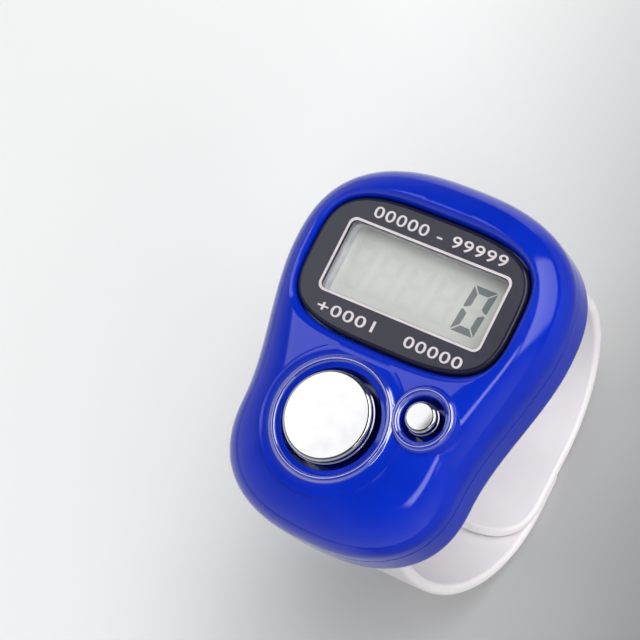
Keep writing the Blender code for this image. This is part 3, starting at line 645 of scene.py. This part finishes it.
def window_box(grown=0.0, corner=window_corner):
    """The window's outline, grown by this much on every side."""
    return rounded_box(window_width + 2 * grown, window_length + 2 * grown, corner, window_centre)


def shoulder(depth, start, top, drop=0.0, steps=shoulder_steps):
    """Sections of the rounded shoulder from the side wall to the crest."""
    outer = inset(case_outline, depth)
    inner = inset(crest_outline, drop)
    sections = []
    for i in range(steps + 1):
        angle = math.pi / 2 * i / steps
        part = 1 - max(math.cos(angle), 0.0) ** (2 / shoulder_power)
        rise = math.sin(angle) ** (2 / shoulder_power)
        sections.append((between(outer, inner, part), start + (top - start) * rise))
    return sections


def collar(name, place, hole_radius, bead_ring, bead_height, mound_radius):
    """Raised mound, bead and guide tube round a button.

    Outside the bead the mound falls steeply at first, then more and more gently.
    """
    bead = (bead_ring, crest_height + bead_height - collar_bead_radius)
    tube = hole_radius + collar_wall
    foot = crest_height + mound_rise
    base = mound_radius + mound_skirt
    inside = hole_radius - fit_gap
    rim = bead[1] + mound_edge
    near_foot = (bead_ring + 1.4 * collar_bead_radius, foot + 0.3 * bead_height)
    profile = [(inside, collar_depth), (inside, rim - 2 * mound_edge)]
    profile += arc((hole_radius + collar_chamfer, rim - collar_chamfer), collar_chamfer, 170, 95, 4)
    profile += arc(bead, collar_bead_radius, 145, 30, 12)
    steps = 10
    start = profile[-1]
    for i in range(1, steps + 1):
        part = i / steps
        fall = (1 - part) ** 2
        x = start[0] + (mound_radius - mound_edge - start[0]) * part
        curve = foot + (near_foot[1] - foot) * 0.7 * (1 - part)
        profile.append((x, curve + (start[1] - curve) * fall ** 2))
    profile += [
        (mound_radius - 0.35 * mound_edge, foot - 0.2 * mound_edge),
        (mound_radius + 0.25 * mound_skirt, foot - mound_skirt),
        (base, foot - 2.2 * mound_skirt),
        (base, front_cavity_top),
        (tube, front_cavity_top),
        (tube, collar_depth),
    ]
    return turned(name, profile, place, closed=True)


def polish_bead(made, place, ring):
    """Give the bead of this radius round place its smoother, glossier finish."""
    if bead_blue.name not in made.data.materials:
        made.data.materials.append(bead_blue)
    for face in made.data.polygons:
        away = math.dist(face.center.xy, place) - ring
        if abs(away) < bead_polish_reach and face.center.z > bead_polish_foot:
            face.material_index = 1


def front_shell():
    """Upper half of the case, open inside, with the panel's recess and both collars."""
    skirt = [
        (inset(case_outline, sharp_edge), parting_height),
        (case_outline, parting_height + sharp_edge),
    ]
    made = loft("front_shell_skin", skirt + shoulder(0.0, shoulder_start, crest_height))

    inner = inset(case_outline, front_wall)
    hollow = [(inner, parting_height - MM)]
    hollow += shoulder(front_wall, shoulder_start, front_cavity_top, front_wall / 2, 5)
    combine(made, cut=[loft("front_hollow", hollow)])

    tray = panel_oval(tray_margin)
    joined = [
        loft("panel_tray", [(tray, lcd_seat), (tray, tray_top)]),
        collar("count_collar", count_place, count_hole_radius, count_bead_ring, count_bead_height,
               count_mound_radius),
        collar("reset_collar", reset_place, reset_hole_radius, reset_bead_ring, reset_bead_height,
               reset_mound_radius),
    ]
    for number, place in enumerate(case_screw_places):
        joined.append(bore(f"case_boss_{number}", case_boss_radius, case_boss_end,
                           front_cavity_top + boss_overlap, place, 32))

    seat, mouth = panel_oval(seam_gap), panel_oval(recess_flare)
    low = -panel_edge_radius
    rise = crest_height - low
    recess = [(seat, recess_floor), (seat, low)]
    for part, height in recess_curve:
        recess.append((between(seat, mouth, part), low + rise * height))
    over = inset(mouth, -recess_margin)
    recess += [(over, crest_height + sharp_edge), (over, crest_height + MM)]
    opening = window_box(lens_margin)
    cutters = [
        loft("panel_recess", recess),
        loft("window_opening", [(opening, lcd_seat - MM), (opening, 0.0)]),
        bore("count_hole", count_hole_radius, -hole_reach, hole_reach, count_place),
        bore("reset_hole", reset_hole_radius, -hole_reach, hole_reach, reset_place),
    ]
    for number, place in enumerate(case_screw_places):
        cutters.append(bore(f"case_pilot_{number}", case_screw_radius + touch_gap,
                            case_boss_end - MM, case_pilot_top, place, 16))
    combine(made, joined, cutters)
    finish_piece(made, blue, "case", ["front_shell"])
    polish_bead(made, count_place, count_bead_ring)
    polish_bead(made, reset_place, reset_bead_ring)


def strap_lean(root_y):
    """How far a strap's arm runs outwards for each metre that it comes down."""
    corner = upper_corner if root_y > 0 else lower_corner
    return (corner[0] - abs(root_y)) / (hinge_height - corner[2])


def extruded(name, outline, half_width, place):
    """A solid with this (y, z) outline, extruded along X."""
    shape = bmesh.new()
    ends = []
    for x in (-half_width, half_width):
        ends.append([shape.verts.new((x, y + place[0], z + place[1])) for y, z in outline])
        shape.faces.new(ends[-1])
    add_sides(shape, *ends)
    return new_object(name, shape)


def channel(name, root_y, half_width, swing):
    """Round groove that holds a strap's bead, with a mouth as wide as the strap's swing."""
    half = half_width + strap_gap
    groove = extruded(name + "_groove", arc((0.0, 0.0), channel_radius, 0, 350, 35), half,
                      (root_y, root_axis))
    side = 1.0 if root_y > 0 else -1.0
    room = strap_thickness / 2 + strap_gap
    reach = 5 * MM
    first = math.atan(strap_lean(root_y))
    last = first + swing
    fan = [(-room * math.cos(first), -room * math.sin(first))]
    steps = 12
    for i in range(steps + 1):
        angle = first + (last - first) * i / steps
        shift = room * (2 * i / steps - 1)
        fan.append((reach * math.sin(angle) + shift * math.cos(angle),
                    shift * math.sin(angle) - reach * math.cos(angle)))
    fan.append((room * math.cos(last), room * math.sin(last)))
    fan = [(side * y, z) for y, z in fan]
    return [groove, extruded(name + "_mouth", fan, half, (root_y, root_axis))]


def back_cover():
    """Lower half of the case, with its tongue, screw posts and the straps' grooves."""
    edge_steps = 12
    sections = []
    for i in range(edge_steps + 1):
        angle = math.pi / 2 * i / edge_steps
        depth = back_edge_radius * (1 - math.sin(angle))
        sections.append((inset(case_outline, depth), side_end - back_edge_radius * math.cos(angle)))
    tongue = front_wall + seam_gap
    sections += [
        (case_outline, cover_top - sharp_edge),
        (inset(case_outline, sharp_edge), cover_top),
        (inset(case_outline, tongue), cover_top),
        (inset(case_outline, tongue), cover_top + tongue_height),
    ]
    made = loft("back_cover_skin", sections)
    rim = inset(case_outline, tongue + tongue_wall)
    side = inset(case_outline, back_side_wall)
    floor = inset(case_outline, back_edge_radius)
    hollow = [
        (floor, back_inner), (side, side_end), (side, cover_top - 2 * tongue_slope),
        (rim, cover_top - tongue_slope), (rim, cover_top + 2 * tongue_height),
    ]
    combine(made, cut=[loft("back_hollow", hollow)])

    joined = []
    for name, root_y, half_width in (
        ("upper_block", upper_root_y, upper_half_width[0]),
        ("lower_block", lower_root_y, lower_half_width[0]),
    ):
        half = channel_radius + channel_roof
        low = back_inner - back_wall / 2
        outline = [(-half, low), (half, low), (half, channel_top), (-half, channel_top)]
        joined.append(extruded(name, outline, half_width + strap_gap + channel_end_wall,
                               (root_y, 0.0)))
    cutters = []
    head_floor = back_face + case_screw_sink + case_screw_head_height + touch_gap
    for number, place in enumerate(case_screw_places):
        joined.append(bore(f"cover_post_{number}", case_boss_radius, back_inner - back_wall / 2,
                           case_boss_end - seam_gap, place, 32))
        cutters.append(bore(f"boss_room_{number}", case_boss_radius + fit_gap,
                            case_boss_end - seam_gap, cover_top + 2 * tongue_height, place, 32))
        cutters.append(bore(f"head_sink_{number}", case_screw_head_radius + touch_gap,
                            back_face - MM, head_floor, place, 48))
        cutters.append(bore(f"shank_hole_{number}", case_screw_radius + touch_gap,
                            back_face - MM, case_boss_end + MM, place, 24))
    cutters += channel("upper_channel", upper_root_y, upper_half_width[0], 0.0)
    cutters += channel("lower_channel", lower_root_y, lower_half_width[0], strap_swing)
    combine(made, joined, cutters)
    finish_piece(made, blue, "case", ["back_cover"])


def display_panel():
    """Black panel with its opening, and the clear pane in the pocket behind it."""
    steps = 8
    outline = panel_oval()
    sections = [(outline, -panel_thickness)]
    for i in range(steps + 1):
        angle = math.pi / 2 * i / steps
        depth = panel_edge_radius * (1 - math.cos(angle))
        sections.append((inset(outline, depth),
                         -panel_edge_radius + panel_edge_radius * math.sin(angle)))
    bezel = loft("panel_body", sections)
    opening, pocket = window_box(), window_box(lens_margin)
    combine(bezel, cut=[
        loft("bezel_window", [(opening, -hole_reach), (opening, MM)]),
        loft("lens_pocket", [(pocket, -hole_reach), (pocket, -panel_lip)]),
    ])
    finish_piece(bezel, black, "case", ["display_bezel"])

    outline = window_box(lens_margin - touch_gap)
    face = inset(outline, pane_edge)
    low = lens_top - lens_thickness
    pane = loft("window_pane", [(face, low), (outline, low + pane_edge),
                                (outline, lens_top - pane_edge), (face, lens_top)])
    finish_piece(pane, clear, "case", ["display_window"])


# Print and digits


def window_line():
    """Printed line round the window, as a band between two rounded rectangles."""
    inner = window_box(line_gap)
    outer = window_box(line_gap + line_width, window_corner + line_width / 2)
    shape = bmesh.new()
    rings = []
    for outline, z in ((inner, 0.0), (outer, 0.0), (outer, print_thickness),
                       (inner, print_thickness)):
        rings.append(add_ring(shape, outline, z))
    for low, high in zip(rings, rings[1:] + rings[:1]):
        add_sides(shape, low, high)
    finish_piece(new_object("window_print_line", shape), ink, "case")


def label(name, text, centre, height, width):
    """Printed characters on the panel, fitted into a box of this height and width."""
    curve = bpy.data.curves.new(name, "FONT")
    curve.body = text
    curve.size = 1.0
    curve.space_character = label_spacing
    curve.offset = label_weight
    curve.align_x = "CENTER"
    curve.align_y = "CENTER"
    source = bpy.data.objects.new(name + "_source", curve)
    scene.collection.objects.link(source)
    graph = bpy.context.evaluated_depsgraph_get()
    mesh = bpy.data.meshes.new_from_object(source.evaluated_get(graph))
    bpy.data.objects.remove(source, do_unlink=True)
    xs, ys = ([vertex.co[k] for vertex in mesh.vertices] for k in (0, 1))
    scale = (width / (max(xs) - min(xs)), height / (max(ys) - min(ys)))
    middle = ((max(xs) + min(xs)) / 2, (max(ys) + min(ys)) / 2)
    shape = bmesh.new()
    shape.from_mesh(mesh)
    for vertex in shape.verts:
        x, y = vertex.co.xy
        vertex.co = (centre[0] + (x - middle[0]) * scale[0],
                     centre[1] + window_y + (y - middle[1]) * scale[1], 0.0)
    bmesh.ops.remove_doubles(shape, verts=shape.verts, dist=weld_distance / 4)
    raised = bmesh.ops.extrude_face_region(shape, geom=shape.faces[:])["geom"]
    for item in raised:
        if isinstance(item, bmesh.types.BMVert):
            item.co.z = print_thickness
    bpy.data.meshes.remove(mesh)
    finish_piece(new_object(name, shape), ink, "case")


def digit(centre):
    """Outlines of the seven bars of one display digit, listed a to g."""
    w, h, t, g = digit_width / 2, digit_height / 2, digit_bar, digit_gap
    top = [(-w + g, h), (w - g, h), (w - t - g, h - t), (-w + t + g, h - t)]
    side = [(w, h - g), (w, g + 0.12 * t), (w - 0.3 * t, g), (w - t, g + 0.45 * t), (w - t, h - t - g)]
    middle = [
        (-w + 0.35 * t + g, 0.0), (-w + t, t / 2), (w - t, t / 2), (w - 0.35 * t - g, 0.0),
        (w - t, -t / 2), (-w + t, -t / 2),
    ]
    bars = [
        top,
        side,
        [(x, -y) for x, y in side[::-1]],
        [(x, -y) for x, y in top[::-1]],
        [(-x, -y) for x, y in side],
        [(-x, y) for x, y in side[::-1]],
        middle,
    ]
    return [[(x + digit_slant * y + centre[0], y + centre[1] + window_y) for x, y in bar]
            for bar in bars]


def display_digits():
    """A single nought at the right; the other bars show faintly, switched off."""
    shown, faint = [], []
    for number in range(digit_count):
        bars = digit((digit_last[0] - number * digit_pitch, digit_last[1]))
        if number == 0:
            shown += bars[:6]
            faint.append(bars[6])
        else:
            faint += bars
    for name, bars, material in (("display_digit", shown, segment_ink),
                                 ("display_digits_off", faint, faint_ink)):
        made = plates(name, bars, lcd_top, lcd_top + print_thickness)
        finish_piece(made, material, "case")


# Buttons, screws and straps


def button(name, place, radius, top, flange_radius):
    """Chrome cap with a rolled edge and a thin lip, on its blue retaining flange."""
    lip_height = top - cap_lip_drop
    crown = button_crown * radius / count_radius
    profile = [(0.0, top)]
    crown_steps = 6
    for i in range(1, crown_steps + 1):
        part = i / crown_steps
        profile.append(((radius - button_edge) * part, top - crown * part * part))
    profile += arc((radius - button_edge, top - crown - button_edge), button_edge, 88, 0, 12)
    profile.append((radius, lip_height + cap_lip))
    profile += arc((radius, lip_height), cap_lip, 60, -60, 8)
    profile += [(radius, lip_height - cap_lip), (radius, flange_top), (0.0, flange_top)]
    cap = turned(name + "_cap", profile, place)
    finish_piece(cap, chrome, name, [name], 40)
    profile = [
        (0.0, flange_top), (flange_radius - flange_edge, flange_top),
        (flange_radius, flange_top - flange_edge), (flange_radius, flange_bottom + flange_edge),
        (flange_radius - flange_edge, flange_bottom), (0.0, flange_bottom),
    ]
    flange = turned(name + "_flange", profile, place)
    finish_piece(flange, blue, name, [name], 40)


def dome(name, place, radius, travel):
    """Rubber dome under a button, built at rest, with a hollow as deep as the button's travel."""
    cap = dome_cap_share * radius
    profile = [(0.0, dome_top)]
    profile += arc((cap - dome_edge, dome_top - dome_edge), dome_edge, 88, 35, 4)
    profile += [
        (radius - dome_lip, dome_foot + dome_skirt),
        (radius - dome_edge / 2, dome_foot + dome_skirt),
        (radius, dome_foot + dome_skirt - dome_edge / 2), (radius, dome_foot),
        (radius - dome_lip - dome_wall, dome_foot), (cap - dome_wall / 2, dome_top - travel),
        (0.0, dome_top - travel),
    ]
    made = turned(name + "_rubber", profile, place, 48)
    finish_piece(made, rubber, "case", [name])
    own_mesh(made)


def case_screw(name, place):
    """Screw that stands head down in the cover, with a cross recess in its rounded head."""
    low = back_face + case_screw_sink
    tip = case_pilot_top - screw_tip_gap
    profile = [
        (0.0, tip), (case_screw_radius, tip - screw_point),
        (case_screw_radius, low + case_screw_head_height),
        (case_screw_head_radius, low + case_screw_head_height),
    ]
    profile += arc((case_screw_head_radius - screw_rim, low + screw_rim), screw_rim, 0, -80, 5)
    profile.append((0.0, low - screw_dish))
    made = turned(name + "_turned", profile, place, 48)
    cutters = []
    for number, size in enumerate(((cross_length, cross_width), (cross_width, cross_length))):
        outline = rounded_box(*size, cross_corner, place, 3)
        small = between(outline, [place] * len(outline), cross_taper)
        cutters.append(loft(f"{name}_slot_{number}", [
            (outline, low - MM), (outline, low + cross_lead), (small, low + cross_depth),
        ]))
    combine(made, cut=cutters)
    finish_piece(made, screw_steel, "case", [name])


def strap_path(root_y, corner, base, end_y, bend=None):
    """Middle line of a strap as (y, z): down the arm, round an oval corner, along the bottom."""
    side = 1.0 if root_y > 0 else -1.0
    reach, flat, rise = corner
    wide = reach - strap_thickness / 2 - flat
    squash = wide / rise
    run = abs(root_y) - flat
    climb = (hinge_height - base - rise) * squash
    start = math.atan2(climb, run) - math.acos(wide / math.hypot(run, climb))
    steps, bend_steps = 90, 24
    line = [(abs(root_y), hinge_height)]
    for i in range(steps + 1):
        angle = start - (start + math.pi / 2) * i / steps
        line.append((flat + wide * math.cos(angle), base + rise * (1 + math.sin(angle))))
    if bend:
        bend_y, wide, rise = bend
        turn = math.asin((bend_y - side * end_y) / wide)
        for i in range(bend_steps + 1):
            angle = turn * i / bend_steps
            line.append((bend_y - wide * math.sin(angle), base + rise * (1 - math.cos(angle))))
    else:
        line.append((side * end_y, base))
    return [(side * y, z) for y, z in line]


def strap(name, body, path, half_width, root_y, replaced, cut=(), joined=()):
    """Flat arm swept along its path: bead at the root, full width, rounded free end."""
    steps, end_steps = 90, 16
    length = sum(math.dist(a, b) for a, b in zip(path, path[1:]))
    arm = 1 - strap_end_taper / length
    shares = [arm * i / steps for i in range(steps + 1)]
    widths = [half_width[0] + (half_width[1] - half_width[0]) * share for share in shares]
    for i in range(1, end_steps + 1):
        angle = math.pi / 2 * i / end_steps
        shares.append(arm + (1 - arm) * math.sin(angle) ** (2 / strap_end_power))
        round_end = max(math.cos(angle), 0.0) ** (2 / strap_end_power)
        widths.append(max(half_width[1] * round_end, 2 * strap_edge))
    line = points_at(path, shares)

    shape = bmesh.new()
    rings = []
    for i, (y, z) in enumerate(line):
        before, after = line[max(i - 1, 0)], line[min(i + 1, len(line) - 1)]
        direction = Vector((after[0] - before[0], after[1] - before[1])).normalized()
        section = rounded_box(2 * widths[i], strap_thickness, strap_edge, (0.0, 0.0), 5)
        rings.append([shape.verts.new((x, y - direction.y * depth, z + direction.x * depth))
                      for x, depth in section])
    made = close_rings(name, shape, rings, 0.0)
    bead = extruded(name + "_bead", arc((0.0, 0.0), root_bead_radius, 0, 352, 44), half_width[0],
                    (root_y, root_axis))
    combine(made, [bead, *joined], cut)
    finish_piece(made, frosted, body, [replaced], 50)


def ring_straps():
    """Lower strap with its closing hole, and upper strap with the peg, lying inside it."""
    lower_base = strap_thickness / 2
    upper_base = lower_base + strap_thickness + strap_gap
    hole_radius = peg_radius + fit_gap
    hole = rounded_box(2 * hole_radius, 2 * hole_radius + hole_slack, hole_radius - hole_end_flat,
                       (0.0, peg_y + hole_slack / 2), 10)
    lower_line = strap_path(lower_root_y, lower_corner, lower_base, lower_end_y)
    strap("lower_band", "lower_strap", lower_line, lower_half_width, lower_root_y, "lower_strap",
          cut=[loft("closing_hole", [(hole, -MM), (hole, strap_thickness + 2 * MM)], 0.0)])

    reach, flat, rise = lower_corner
    inside = strap_thickness + strap_gap
    bend = (-flat, reach - strap_thickness / 2 - flat - inside, rise - inside)
    upper_line = strap_path(upper_root_y, upper_corner, upper_base, upper_end_y, bend)
    peg_low = upper_base - strap_thickness / 2 - peg_length - face_height
    profile = [(0.0, peg_low), (peg_radius - peg_edge, peg_low)]
    profile += arc((peg_radius - peg_edge, peg_low + peg_edge), peg_edge, -80, 0, 4)
    profile += [(peg_radius, upper_base - face_height), (0.0, upper_base - face_height)]
    strap("upper_band", "case", upper_line, upper_half_width, upper_root_y, "upper_strap",
          joined=[turned("peg", profile, (0.0, peg_y), 40)])


front_shell()
back_cover()
display_panel()
window_line()
label("panel_label_top", "00000 - 99999", (0.3 * MM, 5.4 * MM), 1.25 * MM, 15.6 * MM)
label("panel_label_left", "+0001", (-5.15 * MM, -5.65 * MM), 1.2 * MM, 6.8 * MM)
label("panel_label_right", "00000", (5.2 * MM, -5.7 * MM), 1.2 * MM, 6.7 * MM)
display_digits()
button("count_button", count_place, count_radius, count_top, count_flange_radius)
button("reset_button", reset_place, reset_radius, reset_top, reset_flange_radius)
dome("count_dome", count_place, count_dome_radius, count_travel)
dome("reset_dome", reset_place, reset_dome_radius, reset_travel)
for number, place in enumerate(case_screw_places):
    case_screw(f"case_screw_{number + 1}", place)
ring_straps()


# Studio


floor_drop = 0.1 * MM
floor_half_size = 3.0
floor_pale = (0.87, 0.87, 0.87)
floor_pale_x = -45 * MM
# Painted shade: the floor darkens to this grey towards the right
floor_painted_shade = (0.18, 0.185, 0.19)
floor_painted_shade_x = 45 * MM
sky_dark = 0.06
sky_bright = 0.75
lamp_aim = Vector((0.0, 0.0, 0.04))


def pale_floor():
    """Floor sheet that goes from pale on the left to mid grey on the right; the grey is painted shade.
    """
    shape = bmesh.new()
    bmesh.ops.create_grid(shape, x_segments=1, y_segments=1, size=floor_half_size)
    floor = new_object("floor", shape, -floor_drop)
    material, shader = new_material("pale_floor", floor_pale, 0.6)
    nodes, links = material.node_tree.nodes, material.node_tree.links
    place = nodes.new("ShaderNodeTexCoord")
    split = nodes.new("ShaderNodeSeparateXYZ")
    links.new(place.outputs["Object"], split.inputs["Vector"])
    across = map_range(material.node_tree, split.outputs["X"], (floor_pale_x, floor_painted_shade_x))
    shade = nodes.new("ShaderNodeValToRGB")
    shade.color_ramp.interpolation = "EASE"
    shade.color_ramp.elements[0].color = (*floor_pale, 1.0)
    shade.color_ramp.elements[1].color = (*floor_painted_shade, 1.0)
    links.new(across.outputs["Result"], shade.inputs["Fac"])
    links.new(shade.outputs["Color"], shader.inputs["Base Color"])
    vary_roughness(material, shader, object_noise(material, 12.0), 0.55, 0.7)
    shader.inputs["Specular IOR Level"].default_value = 0.2
    floor.data.materials.append(material)


def soft_edges(data, edge, low_side):
    """Let a lamp fade out towards its rim, over this share of its width and length.

    Along its own Y its level also runs from low_side to 1.
    """
    data.use_nodes = True
    tree = data.node_tree
    nodes, links = tree.nodes, tree.links
    emission = next(node for node in nodes if node.type == "EMISSION")
    geometry = nodes.new("ShaderNodeNewGeometry")
    split = nodes.new("ShaderNodeSeparateXYZ")
    links.new(geometry.outputs["Parametric"], split.inputs["Vector"])
    fades = []
    for axis, share in zip("XY", edge):
        away = nodes.new("ShaderNodeMath")
        away.operation = "PINGPONG"
        away.inputs[1].default_value = 0.5
        links.new(split.outputs[axis], away.inputs[0])
        fade = map_range(tree, away.outputs["Value"], (0.0, share))
        fade.interpolation_type = "SMOOTHSTEP"
        fades.append(fade.outputs["Result"])
    level = math_node(tree, "MULTIPLY", *fades)
    slope = map_range(tree, split.outputs["Y"], end=(low_side, 1.0))
    sloped = math_node(tree, "MULTIPLY", level.outputs["Value"], slope.outputs["Result"])
    links.new(sloped.outputs["Value"], emission.inputs["Strength"])


def area_lamp(name, place, size, radiance, edge, low_side=1.0, seen_in_gloss=True):
    """Lamp aimed at the counter; radiance is what a mirror shows of its middle."""
    data = bpy.data.lights.new(name, "AREA")
    data.shape = "RECTANGLE"
    data.size, data.size_y = size
    data.energy = radiance * math.pi * size[0] * size[1]
    soft_edges(data, edge, low_side)
    lamp = bpy.data.objects.new(name, data)
    lamp.location = place
    direction = lamp_aim - Vector(place)
    lamp.rotation_euler = direction.to_track_quat("-Z", "Y").to_euler()
    lamp.visible_glossy = seen_in_gloss
    scene.collection.objects.link(lamp)


def studio():
    """Floor, lamps, and a sky that glows low down in front and on the left."""
    pale_floor()
    world = bpy.data.worlds.new("studio")
    world.use_nodes = True
    tree = world.node_tree
    nodes, links = tree.nodes, tree.links
    background = nodes["Background"]
    background.inputs["Color"].default_value = (0.96, 0.98, 1.0, 1.0)
    direction = nodes.new("ShaderNodeTexCoord")
    split = nodes.new("ShaderNodeSeparateXYZ")
    links.new(direction.outputs["Generated"], split.inputs["Vector"])
    towards_front, towards_left, down = (
        map_range(tree, split.outputs[axis], reach).outputs["Result"]
        for axis, reach in (("Y", (0.15, -0.4)), ("X", (-0.35, -0.9)), ("Z", (0.95, 0.1)))
    )
    sides = math_node(tree, "MAXIMUM", towards_front, towards_left)
    glow = math_node(tree, "MULTIPLY", sides.outputs["Value"], down)
    level = map_range(tree, glow.outputs["Value"], end=(sky_dark, sky_bright))
    # Past the floor's edge the camera sees an even sky; the glow is for light and reflections
    path = nodes.new("ShaderNodeLightPath")
    seen = nodes.new("ShaderNodeMix")
    links.new(path.outputs["Is Camera Ray"], seen.inputs["Factor"])
    links.new(level.outputs["Result"], seen.inputs["A"])
    seen.inputs["B"].default_value = sky_bright
    links.new(seen.outputs["Result"], background.inputs["Strength"])
    scene.world = world
    area_lamp("right_softbox", (0.679, 0.615, 0.66), (1.37, 1.20), 3.2, (0.12, 0.10), 0.45)
    area_lamp("narrow_softbox", (0.238, -0.062, 0.475), (0.21, 0.085), 3.8, (0.2, 0.25))
    area_lamp("top_softbox", (-0.235, 0.065, 0.46), (0.22, 0.18), 1.2, (0.12, 0.15), 1.5)
    area_lamp("fill_left", (-0.5, -0.4, 0.6), (0.5, 0.5), 1.6, (0.2, 0.2), 1.0, False)
    area_lamp("fill_top", (0.2, 0.25, 0.9), (0.5, 0.5), 6.2, (0.2, 0.2), 1.0, False)
    area_lamp("fill_right", (0.55, -0.15, 0.32), (0.5, 0.5), 3.0, (0.2, 0.2), 1.0, False)
    scene.view_settings.view_transform = "Standard"


def camera():
    place = Vector((101.39, -30.89, 257.43)) * MM
    target = Vector((-7.505, 0.774, 45.0)) * MM
    roll = math.radians(-48.82)
    data = bpy.data.cameras.new("camera")
    data.lens = 135.0
    data.sensor_width = 36.0
    data.clip_start = 0.01
    made = bpy.data.objects.new("camera", data)
    made.location = place
    made.rotation_mode = "QUATERNION"
    level = (target - place).to_track_quat("-Z", "Y")
    made.rotation_quaternion = level @ Quaternion((0.0, 0.0, 1.0), roll)
    scene.collection.objects.link(made)
    scene.camera = made


studio()
camera()
